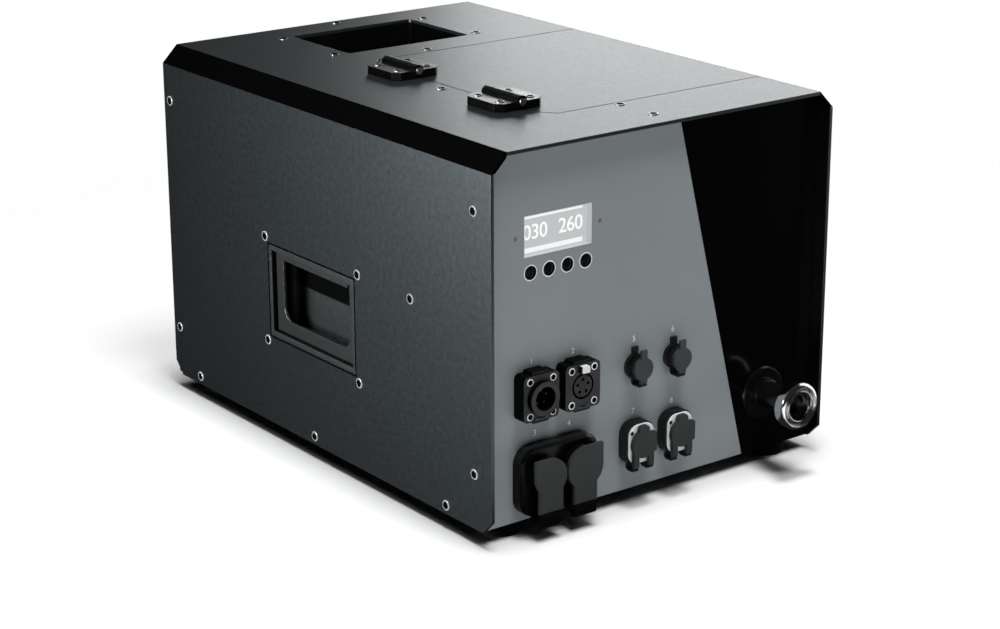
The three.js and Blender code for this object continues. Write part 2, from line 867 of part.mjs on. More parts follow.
function igniter() {
  const base = wellFloor + seat;
  const plate = slab('z', rounded(wellX, igniterY, igniterPlateAcross, igniterPlateLong, igniterPlateThick),
    base, base + igniterPlateThick);
  const pieces = [-1, 1].flatMap((side) => {
    const x = wellX + side * igniterSpread / 2;
    const top = base + ceramicTall;
    const tipX = wellX + side * electrodeGap / 2;
    const ceramic = turned('z', [x, igniterY, base], [
      [0, -ceramicTail], [ceramicRadius, -ceramicTail], [ceramicRadius, ceramicTall - ceramicRadius],
      [electrodeRadius + electrodeRadius, ceramicTall], [0, ceramicTall]], smallSides);
    const wire = bar([
      [x, igniterY, top - ceramicRadius], [x, igniterY, top + electrodeRise / 2],
      [x, igniterY - electrodeRise, top + electrodeRise], [tipX, wellY + nozzleTip, top + electrodeRise],
    ], electrodeRadius, contactSides, wireSteps);
    const tail = rod('z', [x, igniterY, base], electrodeRadius, -ceramicTail - ceramicRadius,
      -ceramicTail + overrun, contactSides);
    return [ceramic, wire, tail];
  });
  return join(plate, ...pieces);
}

place('flame_well', flameWell(), 'blackSheet');
place('flame_nozzle', nozzle(), 'brass');
place('igniter', igniter(), 'ceramic');

// Solenoid valve, hung under the well's floor round the nozzle's stem
const valveTop = wellFloor - wellWall - seat;
const valvePortZ = valveTop - valvePortDrop;
const valvePortX = wellX + valveAcross / 2;

function valve() {
  const body = slab('z', rounded(wellX, wellY, valveAcross, valveAcross, sheet), valveTop - valveTall,
    valveTop);
  const coil = turned('z', [wellX, wellY, valveTop - valveTall], [
    [0, overrun], [coilRadius - sheet, overrun], [coilRadius - sheet, -sheet], [coilRadius, -sheet],
    [coilRadius, -coilTall], [0, -coilTall]], midSides);
  const port = rod('x', [0, wellY, valvePortZ], portRadius - seat, valvePortX - overrun,
    valvePortX + portLong, smallSides);
  const stemHole = rod('z', [wellX, wellY, 0], nozzleStem + seat, valveTop - nozzleTail, valveTop + overrun,
    midSides);
  return cut(join(body, coil, port), stemHole);
}

place('solenoid_valve', valve(), 'steel');

// Display unit: board on standoffs, frame round the window, screen block and four switches
const boardFront = panelBack + boardSetback;
const boardZ = displayZ - boardDrop;
const screenFront = panelFront + displayRecess;

function displayUnit() {
  const board = block(displayX - boardAcross / 2, displayX + boardAcross / 2, boardFront,
    boardFront + boardThick, boardZ - boardTall / 2, boardZ + boardTall / 2);
  const frameAcross = displayAcross + 2 * displayFrame;
  const frameTall = displayTall + 2 * displayFrame;
  const frame = block(displayX - frameAcross / 2, displayX + frameAcross / 2, panelBack + seat,
    boardFront + weld, displayZ - frameTall / 2, displayZ + frameTall / 2);
  const pocket = block(displayX - displayAcross / 2, displayX + displayAcross / 2,
    panelBack - overrun, screenFront, displayZ - displayTall / 2, displayZ + displayTall / 2);
  const standoffs = [-1, 1].flatMap((u) => [-1, 1].map((v) => rod('y',
    [displayX + u * (boardAcross / 2 - standoffInset), 0, boardZ + v * (boardTall / 2 - standoffInset)],
    standoffRadius, panelBack + seat, boardFront + weld, contactSides)));
  const switches = buttonPlaces.map((x) => block(x - switchSize / 2, x + switchSize / 2,
    buttonBack + buttonTravel + seat, boardFront + weld, buttonZ - switchSize / 2,
    buttonZ + switchSize / 2));
  return cut(join(board, frame, ...standoffs, ...switches), pocket);
}

// Buttons: dished caps sunk in their holes, with a collar behind the panel
const buttonFront = panelFront + buttonSunk;
const buttonBack = panelBack + boardSetback / 2;

function button(x) {
  return turned('y', [x, 0, buttonZ], [
    [0, buttonFront], [buttonRadius - buttonDish, buttonFront], [buttonRadius, buttonFront + buttonDish],
    [buttonRadius, panelBack + seat], [buttonRadius + buttonDish, panelBack + seat],
    [buttonRadius + buttonDish, panelBack + seat + buttonDish], [buttonStem, panelBack + seat + buttonDish],
    [buttonStem, buttonBack], [0, buttonBack],
  ], midSides);
}

place('display_unit', displayUnit(), 'board');
place('display_window', block(
  displayX - displayAcross / 2 + seat, displayX + displayAcross / 2 - seat,
  screenFront - seat - windowThick, screenFront - seat,
  displayZ - displayTall / 2 + seat, displayZ + displayTall / 2 - seat), 'glass');
buttonPlaces.forEach((x, i) => place(`button_${i + 1}`, button(x), 'blackPlastic'));

// Data sockets: block housings on the panel with a round tail behind it
const dataFront = panelFront - dataReach;

function dataHousing(x) {
  const outline = rounded(x, dataZ, dataAcross, dataTall, dataCorner);
  const housing = slab('y', outline, dataFront, panelFront - seat);
  const rib = slab('y', rounded(x, dataZ, dataRibAcross, dataTall + 2 * dataRibTall, dataRibTall),
    dataFront + overrun, panelFront - seat);
  const tail = rod('y', [x, 0, dataZ], dataTailRadius, panelFront - seat - overrun, panelBack + dataTailLong,
    smallSides);
  return join(housing, rib, tail);
}

function dataIn() {
  const ringFront = dataFront - dataRingReach;
  const ring = rod('y', [dataInX, 0, dataZ], dataRingRadius, ringFront, dataFront + overrun);
  const bore = rod('y', [dataInX, 0, dataZ], dataBoreRadius, ringFront - overrun, ringFront + dataBoreDeep);
  const pins = contactPlaces(dataInX, dataZ, contactCount, contactCircle).map(([x, z]) => rod('y', [x, 0, z],
    contactRadius, ringFront + dataBoreDeep - contactLong, ringFront + dataBoreDeep + overrun,
    contactSides));
  return join(cut(join(dataHousing(dataInX), ring), bore), ...pins);
}

function dataOut() {
  const groove = turned('y', [dataOutX, 0, dataZ], [
    [dataInsertRadius, dataFront - overrun], [dataGrooveRadius, dataFront - overrun],
    [dataGrooveRadius, dataFront + dataGrooveDeep], [dataInsertRadius, dataFront + dataGrooveDeep]]);
  const places = contactPlaces(dataOutX, dataZ, contactCount, contactCircle);
  const holes = places.map(([x, z]) => rod('y', [x, 0, z],
    contactRadius + seat, dataFront - overrun, dataFront + contactLong, contactSides));
  const slot = block(dataOutX - latchAcross / 2 - seat, dataOutX + latchAcross / 2 + seat,
    dataFront - overrun, dataFront + latchDeep + latchTravel + seat,
    dataZ + latchRise - latchTall / 2 - seat, dataZ + latchRise + latchTall / 2 + seat);
  return cut(dataHousing(dataOutX), groove, slot, ...holes);
}

function dataLatch() {
  const outline = rounded(dataOutX, dataZ + latchRise, latchAcross, latchTall, overrun);
  return slab('y', outline, dataFront - latchReach, dataFront + latchDeep);
}

place('data_in_socket', dataIn(), 'blackPlastic');
place('data_out_socket', dataOut(), 'blackPlastic');
place('data_out_latch', dataLatch(), 'chrome');

// A strap that runs slanting from under a socket to the foot of its cover, and turns up there. The
// cover turns about its foot.
function strap(x, across, thick, topZ, backY, axisY, footZ, lowZ) {
  const end = footZ - coverPlay;
  const half = thick / 2;
  const outline = polygon([
    [axisY - half, end], [axisY - half, lowZ + half], [axisY, lowZ], [axisY + half, lowZ],
    [backY + thick, topZ], [backY - thick, topZ], [axisY + half, lowZ + thick + half], [axisY + half, end],
  ]);
  return slab('x', outline, x - across / 2, x + across / 2);
}

// A strap that hangs straight down from under a socket, runs forward, and turns up to its cover's foot
function loop(x, across, thick, topZ, backY, axisY, footZ, lowZ) {
  const end = footZ - coverPlay;
  const half = thick / 2;
  const outline = polygon([
    [axisY - half, end], [axisY - half, lowZ + half], [axisY + half, lowZ], [backY - half, lowZ],
    [backY + half, lowZ + thick], [backY + half, topZ], [backY - half, topZ], [backY - half, lowZ + thick],
    [axisY + half, lowZ + thick], [axisY + half, end],
  ]);
  return slab('x', outline, x - across / 2, x + across / 2);
}

// Mains sockets: one rounded housing with an inlet and an outlet collar, each under its own cover
const mainsFront = panelFront - mainsReach;
const mainsSocketZ = mainsZ + mainsSocketRise;
const inletX = mainsX - mainsSpread / 2;
const outletX = mainsX + mainsSpread / 2;
const mainsAxisY = panelFront - mainsCoverReach + mainsCoverThick / 2;
const mainsHingeZ = shellBottom + mainsCoverBottom;

function mainsSocket() {
  const housing = slab('y', rounded(mainsX, mainsZ, mainsAcross, mainsTall, mainsCorner),
    mainsFront, panelFront - seat + mainsEdge, mainsEdge);
  const trim = block(mainsX - mainsAcross, mainsX + mainsAcross, panelFront - seat,
    panelFront + mainsEdge + overrun, mainsZ - mainsTall, mainsZ + mainsTall);
  const collarFront = panelFront - mainsCollarReach;
  const collar = (x, radius) => rod('y', [x, 0, mainsSocketZ], radius, collarFront, mainsFront + overrun,
    midSides);
  const bore = (x, radius) => rod('y', [x, 0, mainsSocketZ], radius,
    collarFront - overrun, collarFront + mainsBoreDeep, midSides);
  const post = (x) => rod('y', [x, 0, mainsSocketZ], mainsPost,
    collarFront + mainsBoreDeep - mainsPostLong, collarFront + mainsBoreDeep + overrun, smallSides);
  const tail = slab('y', rounded(mainsX, mainsZ, mainsTailAcross, mainsTailTall, mainsEdge),
    panelFront - seat - overrun, panelBack + mainsTailLong);
  const straps = [inletX, outletX].map((x) => strap(x, mainsStemAcross, mainsStrapThick,
    mainsZ - mainsTall / 2 + mainsEdge,
    mainsFront + mainsEdge + mainsStrapThick, mainsAxisY, mainsHingeZ - mainsCoverThick / 2,
    mainsZ - mainsTall / 2 - mainsStrapDrop));
  const body = join(cut(housing, trim), tail, collar(inletX, inletCollar), collar(outletX, outletCollar));
  const bored = cut(body, bore(inletX, inletBore), bore(outletX, outletBore));
  return join(bored, post(inletX), post(outletX), ...straps);
}

// A cover has a disc squared off at its outer top corner, a stem and a rounded foot
function mainsCover(x, radius, outward) {
  const front = panelFront - mainsCoverReach;
  const back = front + mainsCoverThick;
  const disc = rod('y', [x, 0, mainsSocketZ], radius, front, back);
  const corner = block(x, x + outward * radius, front, back, mainsSocketZ, mainsSocketZ + radius);
  const stem = block(x - mainsStemAcross / 2, x + mainsStemAcross / 2, front, back, mainsHingeZ,
    mainsSocketZ);
  const footRound = rod('x', [0, mainsAxisY, mainsHingeZ], mainsCoverThick / 2,
    x - mainsStemAcross / 2, x + mainsStemAcross / 2, smallSides);
  return join(disc, corner, stem, footRound);
}

place('mains_socket', mainsSocket(), 'blackPlastic');
place('mains_in_cover', mainsCover(inletX, inletCover, -1), 'rubber');
place('mains_out_cover', mainsCover(outletX, outletCover, 1), 'rubber');

// Arming sockets: flanged sockets, each under a rubber cover held by two legs
const armFront = panelFront - armReach;
const armCollarFront = panelFront - armCollarReach;
const armCoverBack = armCollarFront - seat;
const armAxisY = armCoverBack - armCoverThick / 2;
const armHingeZ = armZ - armLegDrop;

function armSocket(x) {
  const flange = slab('y', rounded(x, armZ, armAcross, armTall, armCorner), armFront, panelFront - seat);
  const tail = rod('y', [x, 0, armZ], armTailRadius, panelFront - seat - overrun, panelBack + armTailLong,
    smallSides);
  const collar = rod('y', [x, 0, armZ], armCollarRadius, armCollarFront, armFront + overrun, midSides);
  const bottom = armCollarFront + armBoreDeep;
  const bore = rod('y', [x, 0, armZ], armBoreRadius, armCollarFront - overrun, bottom, midSides);
  const pins = contactPlaces(x, armZ, armContactCount, armContactCircle).map(([u, v]) => rod('y', [u, 0, v],
    contactRadius, bottom - armContactLong, bottom + overrun, contactSides));
  const straps = [-1, 1].map((side) => loop(x + side * armLegSpread / 2, armLegAcross, armStrapThick,
    armZ - armTall / 2 + overrun, armFront + armReach / 2, armAxisY, armHingeZ - armCoverThick / 2,
    armHingeZ - armCoverThick / 2 - armStrapDrop));
  return join(cut(join(flange, collar, tail), bore), ...pins, ...straps);
}

function armCover(x) {
  const front = armCoverBack - armCoverThick;
  const centreZ = armZ + armCoverLift;
  const disc = rod('y', [x, 0, centreZ], armCoverRadius, front, armCoverBack);
  const tab = slab('y', rounded(x, armZ + armTabRise / 2, armTabAcross, armTabRise, armTabCorner), front,
    armCoverBack);
  const ear = slab('y', rounded(x + (armEarFrom + armEarTo) / 2, centreZ, armEarTo - armEarFrom,
    2 * armEarRise, armEarCorner), front, armCoverBack);
  const legs = [-1, 1].map((side) => {
    const legX = x + side * armLegSpread / 2;
    const leg = block(legX - armLegAcross / 2, legX + armLegAcross / 2, front, armCoverBack, armHingeZ,
      armZ);
    const round = rod('x', [0, armAxisY, armHingeZ], armCoverThick / 2,
      legX - armLegAcross / 2, legX + armLegAcross / 2, smallSides);
    return join(leg, round);
  });
  return join(disc, tab, ear, ...legs);
}

place('arm_in_socket', armSocket(armInX), 'blackPlastic');
place('arm_in_cover', armCover(armInX), 'rubber');
place('arm_out_socket', armSocket(armOutX), 'blackPlastic');
place('arm_out_cover', armCover(armOutX), 'rubber');

// Trigger sockets: small round sockets, each under a tabbed cap
const triggerCapBack = panelFront - triggerCollarReach - seat;
const triggerAxisY = triggerCapBack - triggerCapThick / 2;
const triggerHingeZ = triggerZ - triggerStrapDrop;

function triggerSocket(x) {
  const base = rod('y', [x, 0, triggerZ], triggerBaseRadius, panelFront - triggerBaseThick,
    panelFront - seat, midSides);
  const collar = rod('y', [x, 0, triggerZ], triggerCollarRadius, panelFront - triggerCollarReach,
    panelFront - seat, midSides);
  const tail = rod('y', [x, 0, triggerZ], triggerTailRadius, panelFront - seat - overrun,
    panelBack + triggerTailLong, smallSides);
  const bore = rod('y', [x, 0, triggerZ], triggerBore, panelFront - triggerCollarReach - overrun,
    panelFront - triggerCollarReach + triggerBoreDeep, smallSides);
  const tab = block(x - triggerTabAcross / 2, x + triggerTabAcross / 2, panelFront - triggerTabThick - seat,
    panelFront - seat, triggerZ, triggerZ + triggerTabRise);
  const footZ = triggerHingeZ - triggerCapThick / 2;
  const strapLoop = loop(x, triggerStrapAcross, triggerStrapThick, triggerZ - triggerBaseRadius + overrun,
    panelFront - triggerBaseThick / 2, triggerAxisY, footZ, footZ - triggerStrapLow);
  return join(cut(join(base, collar, tail, tab), bore), strapLoop);
}

function triggerCap(x) {
  const front = triggerCapBack - triggerCapThick;
  const disc = rod('y', [x, 0, triggerZ], triggerCapRadius, front, triggerCapBack, midSides);
  const tab = block(x - triggerTabAcross / 2, x + triggerTabAcross / 2, front, front + triggerTabThick,
    triggerZ, triggerZ + triggerTabRise);
  const stem = block(x - triggerStrapAcross / 2, x + triggerStrapAcross / 2, front, triggerCapBack,
    triggerHingeZ, triggerZ);
  const round = rod('x', [0, triggerAxisY, triggerHingeZ], triggerCapThick / 2,
    x - triggerStrapAcross / 2, x + triggerStrapAcross / 2, smallSides);
  return join(disc, tab, stem, round);
}

place('trigger_in_socket', triggerSocket(armInX), 'blackPlastic');
place('trigger_in_cap', triggerCap(armInX), 'rubber');
place('trigger_out_socket', triggerSocket(armOutX), 'blackPlastic');
place('trigger_out_cap', triggerCap(armOutX), 'rubber');

// Fuel coupling: flanged body, sliding release sleeve and sprung valve
const neckFront = panelFront - couplingNeckReach;
const sleeveFront = panelFront - sleeveReach;
const couplingBack = panelBack + couplingTailLong;

function couplingBody() {
  const y = panelFront;
  return turned('y', [couplingX, 0, couplingZ], [
    [0, neckFront + couplingBoreDeep], [couplingBore, neckFront + couplingBoreDeep],
    [couplingBore, neckFront], [couplingNeck, neckFront],
    [couplingNeck, y - couplingFlangeThick - couplingStepThick],
    [couplingStepRadius, y - couplingFlangeThick - couplingStepThick + seat],
    [couplingStepRadius, y - couplingFlangeThick],
    [couplingFlange - couplingFlangeThick / 2, y - couplingFlangeThick],
    [couplingFlange, y - couplingFlangeThick / 2],
    [couplingFlange, y - seat], [couplingTail, y - seat], [couplingTail, couplingBack],
    [couplingBarb, couplingBack], [couplingBarb, couplingBack + couplingBarbLong],
    [0, couplingBack + couplingBarbLong],
  ]);
}

// The sleeve has an inner lip, a groove, a sunk step and a rounded outer ring
function couplingSleeve() {
  const back = sleeveFront + sleeveLong;
  const bore = couplingNeck + seat;
  const turn = (i) => Math.PI / 2 * i / arcSteps;
  const arc = Array.from({ length: arcSteps + 1 }, (_, i) => [
    sleeveRadius - sleeveRound * (1 - Math.sin(turn(i))), sleeveRound * (1 - Math.cos(turn(i)))]);
  return turned('y', [couplingX, 0, couplingZ], [
    [bore, sleeveFront], [sleeveLip, sleeveFront], [sleeveLip, sleeveFront + sleeveGrooveDeep],
    [sleeveGroove, sleeveFront + sleeveGrooveDeep], [sleeveGroove, sleeveFront + sleeveStepSunk],
    [sleeveStep, sleeveFront + sleeveStepSunk],
    ...arc.map(([r, inward]) => [r, sleeveFront + inward]),
    ...[...arc].reverse().map(([r, inward]) => [r, back - inward]), [bore, back],
  ]);
}

function couplingPoppet() {
  const back = neckFront + couplingBoreDeep - poppetTravel - seat;
  const front = back - poppetStemLong - poppetHeadThick + poppetTravel;
  const head = couplingBore - seat;
  return turned('y', [couplingX, 0, couplingZ], [
    [0, front], [poppetStem, front], [head, front + poppetHeadThick],
    [head, front + 2 * poppetHeadThick], [poppetStem, front + 2 * poppetHeadThick], [poppetStem, back],
    [0, back],
  ], midSides);
}

place('coupling_body', couplingBody(), 'blackSheet');
place('coupling_sleeve', couplingSleeve(), 'chrome');
place('coupling_poppet', couplingPoppet(), 'steel');

// Fuel tank with a filler neck, an inlet and an outlet, and its turning cap
const tankFloor = floorTop + seat;
const tankTop = tankFloor + tankTall;
const tankFrontY = tankY - tankLong / 2;
const tankBackY = tankY + tankLong / 2;
const outletZ = tankFloor + tankOutletRise;
const inletZ = tankFloor + tankInletRise;

function tank() {
  const shell = slab('z', rounded(tankX, tankY, tankAcross, tankLong, tankCorner), tankFloor, tankTop,
    tankEdge);
  const neck = rod('z', [tankX, tankY, 0], tankNeck, tankTop - overrun, tankTop + tankNeckTall, midSides);
  const outlet = rod('y', [pumpX, 0, outletZ], tankBarb - seat, tankBackY - overrun,
    tankBackY + tankBarbLong, smallSides);
  const inlet = rod('y', [couplingX, 0, inletZ], tankBarb - seat, tankFrontY - tankBarbLong,
    tankFrontY + overrun, smallSides);
  const inside = slab('z', rounded(tankX, tankY, tankAcross - 2 * tankWall, tankLong - 2 * tankWall,
    tankCorner - tankWall), tankFloor + tankWall, tankTop - tankWall, tankEdge - tankWall);
  const mouth = rod('z', [tankX, tankY, 0], tankNeck - tankWall, tankTop - tankEdge,
    tankTop + tankNeckTall + overrun, midSides);
  return cut(join(shell, neck, outlet, inlet), inside, mouth);
}

function tankCap() {
  const shape = new THREE.Shape();
  const steps = capLobes * arcSteps;
  for (let i = 0; i < steps; i += 1) {
    const angle = 2 * Math.PI * i / steps;
    const radius = capRadius - capLobeDeep * (1 - Math.cos(capLobes * angle)) / 2;
    const spot = [tankX + radius * Math.cos(angle), tankY + radius * Math.sin(angle)];
    if (i === 0) shape.moveTo(...spot);
    else shape.lineTo(...spot);
  }
  const low = tankTop + tankNeckTall + capTop - capTall;
  const body = slab('z', shape, low, tankTop + tankNeckTall + capTop);
  const hollow = rod('z', [tankX, tankY, 0], tankNeck + seat, low - overrun, tankTop + tankNeckTall + seat);
  return cut(body, hollow);
}

place('fuel_tank', tank(), 'tank');
place('tank_cap', tankCap(), 'blackPlastic');

// Pump: a motor on a foot and a head with its two ports
const pumpZ = outletZ + pumpHeadTall / 2 - tankOutletRise / 2;
const motorFront = tankBackY + motorBehindTank;
const motorLong = backPanelFront - motorBehindRoom - motorBellLong - motorFront;
const headFront = motorFront - pumpHeadLong - seat;

function pumpMotor() {
  const body = turned('y', [pumpX, 0, pumpZ], [
    [0, motorFront], [motorRadius, motorFront], [motorRadius, motorFront + motorLong],
    [motorBellRadius, motorFront + motorLong], [motorBellRadius, motorFront + motorLong + motorBellLong],
    [0, motorFront + motorLong + motorBellLong]], midSides);
  const mid = motorFront + motorLong / 2;
  const cradle = block(pumpX - motorFootAcross / 2, pumpX + motorFootAcross / 2,
    mid - motorFootLong / 2, mid + motorFootLong / 2, floorTop + seat, pumpZ);
  return join(body, cradle);
}

function pumpHead() {
  const body = slab('y', rounded(pumpX, pumpZ, pumpHeadAcross, pumpHeadTall, pumpHeadCorner), headFront,
    motorFront - seat);
  const suction = rod('y', [pumpX, 0, outletZ], portRadius - seat, headFront - portLong, headFront + overrun,
    smallSides);
  const y = headFront + pumpHeadLong / 2;
  const pressure = rod('z', [pumpX, y, 0], portRadius - seat, pumpZ, pumpZ + pumpHeadTall / 2 + portLong,
    smallSides);
  return join(body, suction, pressure);
}

place('pump_motor', pumpMotor(), 'blackSheet');
place('pump_head', pumpHead(), 'brass');

// Hoses: each lies between two barbs and keeps a seat's gap to what its end faces
function hose(points) {
  return bar(points, hoseRadius);
}

const suctionHose = rod('y', [pumpX, 0, outletZ], hoseRadius, tankBackY + tankBarbLong + seat,
  headFront - portLong - seat, smallSides);
const pressureStart = pumpZ + pumpHeadTall / 2 + portLong + seat;
const pressureY = headFront + pumpHeadLong / 2;
const pressureEnd = valvePortX + portLong + seat;
const pressureHose = hose([
  [pumpX, pressureY, pressureStart], [pumpX, pressureY, pressureStart + hoseStraight],
  [pumpX, (pressureY + wellY) / 2, (pressureStart + valvePortZ) / 2],
  [(pumpX + pressureEnd) / 2 + hoseStraight, wellY, valvePortZ],
  [pressureEnd + hoseStraight, wellY, valvePortZ], [pressureEnd, wellY, valvePortZ],
]);
const fillStart = couplingBack + couplingBarbLong + seat;
const fillEnd = tankFrontY - tankBarbLong - seat;
const fillHose = hose([
  [couplingX, fillStart, couplingZ], [couplingX, (fillStart + fillEnd) / 2, couplingZ],
  [couplingX, (fillStart + fillEnd) / 2, (couplingZ + inletZ) / 2],
  [couplingX, (fillStart + fillEnd) / 2, inletZ], [couplingX, fillEnd, inletZ],
]);
place('suction_hose', suctionHose, 'hose');
place('pressure_hose', pressureHose, 'hose');
place('fill_hose', fillHose, 'hose');

// Power supply: a slotted case with a terminal strip step
function powerSupply() {
  const low = floorTop + seat;
  const box = block(supplyX - supplyAcross / 2, supplyX + supplyAcross / 2,
    supplyY - supplyLong / 2, supplyY + supplyLong / 2, low, low + supplyTall);
  const step = block(supplyX - supplyAcross / 2 - overrun, supplyX + supplyAcross / 2 + overrun,
    supplyY - supplyLong / 2 - overrun, supplyY - supplyLong / 2 + supplyStripLong,
    low + supplyStripTall, low + supplyTall + overrun);
  const slots = Array.from({ length: supplySlotCount }, (_, i) => {
    const y = supplyY + (i - (supplySlotCount - 1) / 2) * supplySlotPitch + supplyStripLong / 2;
    return block(supplyX - supplyAcross / 3, supplyX + supplyAcross / 3, y - supplySlot / 2,
      y + supplySlot / 2, low + supplyTall - supplySlot, low + supplyTall + overrun);
  });
  return cut(box, step, ...slots);
}

// Ignition transformer on the back panel, its posts under the igniter's tails
function ignitionTransformer() {
  const tailZ = wellFloor + seat - ceramicTail - ceramicRadius;
  const high = tailZ - coilBoxDrop;
  const front = wellY + coilRadius + coilBoxBehindValve;
  const box = block(wellX - coilBoxAcross / 2, wellX + coilBoxAcross / 2, front, backPanelFront - seat,
    high - coilBoxTall, high);
  const posts = [-1, 1].map((side) => rod('z', [wellX + side * igniterSpread / 2, igniterY, 0], coilPost,
    high - overrun, tailZ - seat, smallSides));
  return join(box, ...posts);
}

// Main board upright on the left side panel
function mainBoard() {
  const z = shellBottom + mainBoardAboveShell;
  const outer = -insideX + standoffInset * 2;
  const board = block(outer, outer + boardThick, mainBoardY - mainBoardLong / 2,
    mainBoardY + mainBoardLong / 2, z - mainBoardTall / 2, z + mainBoardTall / 2);
  const standoffs = [-1, 1].flatMap((u) => [-1, 1].map((v) => rod('x',
    [0, mainBoardY + u * (mainBoardLong / 2 - standoffInset), z + v * (mainBoardTall / 2 - standoffInset)],
    standoffRadius, -insideX, outer + weld, contactSides)));
  const chips = chipShares.map(([u, v, long, tall]) => block(outer + boardThick - weld,
    outer + boardThick + chipTall,
    mainBoardY + (u - long / 2) * mainBoardLong, mainBoardY + (u + long / 2) * mainBoardLong,
    z + (v - tall / 2) * mainBoardTall, z + (v + tall / 2) * mainBoardTall));
  return join(board, ...standoffs, ...chips);
}

place('power_supply', powerSupply(), 'steel');
place('ignition_transformer', ignitionTransformer(), 'blackPlastic');
place('main_board', mainBoard(), 'board');

// The fittings stand out in front, so the origin moves to the middle of the whole length
machine.position.set(0, (sleeveReach - panelRecess) / 2, 0);
machine.updateMatrixWorld(true);

export default machine;
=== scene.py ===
"""The look of the stage flame machine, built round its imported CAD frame. Metres, Z up."""

import math

import bmesh
import bpy
import numpy as np
from mathutils import Matrix, Quaternion, Vector


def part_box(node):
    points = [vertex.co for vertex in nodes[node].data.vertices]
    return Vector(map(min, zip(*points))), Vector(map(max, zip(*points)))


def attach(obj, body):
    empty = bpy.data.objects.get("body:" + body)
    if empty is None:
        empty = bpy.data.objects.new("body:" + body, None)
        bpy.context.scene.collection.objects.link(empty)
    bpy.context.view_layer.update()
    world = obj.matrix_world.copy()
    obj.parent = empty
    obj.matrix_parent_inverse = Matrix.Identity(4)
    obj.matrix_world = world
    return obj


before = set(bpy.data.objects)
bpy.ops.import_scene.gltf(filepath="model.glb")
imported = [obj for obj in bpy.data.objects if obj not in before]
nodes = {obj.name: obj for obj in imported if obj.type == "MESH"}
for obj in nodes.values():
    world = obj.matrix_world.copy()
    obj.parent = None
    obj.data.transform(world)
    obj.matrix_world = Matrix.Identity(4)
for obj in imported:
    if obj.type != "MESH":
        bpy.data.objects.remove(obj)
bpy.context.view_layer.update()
FIXED = "machine"

# Picture
IMAGE_WIDTH = 1000
SENSOR_MM = 36
FOCAL_PIXELS = 2420.18
CAMERA_PLACE = (-1.03505, -1.36858, 0.65506)
CAMERA_LOOK = (0.573506, 0.756313, -0.314773)
CAMERA_ROLL = math.radians(-0.114)
CAMERA_NEAR = 0.05

# Facets and thin layers
ROUND = 48
SMALL_ROUND = 24
SKIN = 0.00012
SOFT_ANGLE = math.radians(34)


def box_of(node):
    low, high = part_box(node)
    return Vector(low), Vector(high)


def middle(node):
    low, high = box_of(node)
    return (low + high) / 2


# Places read from the frame
side_low, side_high = box_of("left_side_panel")
PANEL_Y = box_of("front_panel")[0].y
TOP_Z = box_of("top_plate")[1].z
LEFT_X = side_low.x
RIGHT_X = -side_low.x
BACK_Y = side_high.y
FRONT_Y = side_low.y
BASE_Z = side_low.z


# Mesh helpers


def facing(outward, place):
    """A frame whose Z points out of a face, whose Y points up the face, at a place on it."""
    out = Vector(outward).normalized()
    up = Vector((0, 1, 0)) if abs(out.z) > 0.5 else Vector((0, 0, 1))
    across = up.cross(out).normalized()
    up = out.cross(across)
    matrix = Matrix((across, up, out)).transposed().to_4x4()
    matrix.translation = Vector(place)
    return matrix


def piece(name, bm, materials, body, smooth=True):
    """Turns a bmesh into an object that rides on a body."""
    bmesh.ops.recalc_face_normals(bm, faces=bm.faces)
    mesh = bpy.data.meshes.new(name)
    bm.to_mesh(mesh)
    bm.free()
    for material in materials:
        mesh.materials.append(material)
    if smooth:
        mesh.polygons.foreach_set("use_smooth", [True] * len(mesh.polygons))
        mesh.set_sharp_from_angle(angle=SOFT_ANGLE)
    made = bpy.data.objects.new(name, mesh)
    bpy.context.collection.objects.link(made)
    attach(made, body)


def lathe(bm, profile, matrix, sides=SMALL_ROUND, slots=None, hexed=()):
    """Turns a profile of (radius, height) points. The rings listed in hexed are hexagons."""
    rings = []
    for place, (radius, height) in enumerate(profile):
        if radius == 0:
            rings.append([bm.verts.new(matrix @ Vector((0, 0, height)))])
            continue
        ring = []
        for i in range(sides):
            angle = 2 * math.pi * i / sides
            reach = radius
            if place in hexed:
                reach /= math.cos((angle + math.pi / 6) % (math.pi / 3) - math.pi / 6)
            spot = Vector((reach * math.cos(angle), reach * math.sin(angle), height))
            ring.append(bm.verts.new(matrix @ spot))
        rings.append(ring)
    for place, (first, second) in enumerate(zip(rings, rings[1:])):
        for i in range(sides):
            j = (i + 1) % sides
            corners = [first[i % len(first)], first[j % len(first)],
                       second[j % len(second)], second[i % len(second)]]
            unique = list(dict.fromkeys(corners))
            if len(unique) > 2:
                face = bm.faces.new(unique)
                face.material_index = slots[place] if slots else 0


def prism(bm, outline, matrix, low, high, chamfer=0.0, slot=0):
    """A plate between two heights over a convex or simple outline, with a chamfered upper edge."""
    points = [Vector((u, v)) for u, v in outline]
    centre = sum(points, Vector((0, 0))) / len(points)
    rings = []
    levels = [(low, 0.0), (high - chamfer, 0.0), (high, chamfer)] if chamfer else [(low, 0.0), (high, 0.0)]
    for height, inset in levels:
        ring = []
        for point in points:
            reach = (point - centre).length
            spot = centre + (point - centre) * (1 - inset / reach)
            ring.append(bm.verts.new(matrix @ Vector((spot.x, spot.y, height))))
        rings.append(ring)
    count = len(points)
    faces = [bm.faces.new(rings[0]), bm.faces.new(rings[-1])]
    for first, second in zip(rings, rings[1:]):
        for i in range(count):
            j = (i + 1) % count
            faces.append(bm.faces.new([first[i], first[j], second[j], second[i]]))
    for face in faces:
        face.material_index = slot


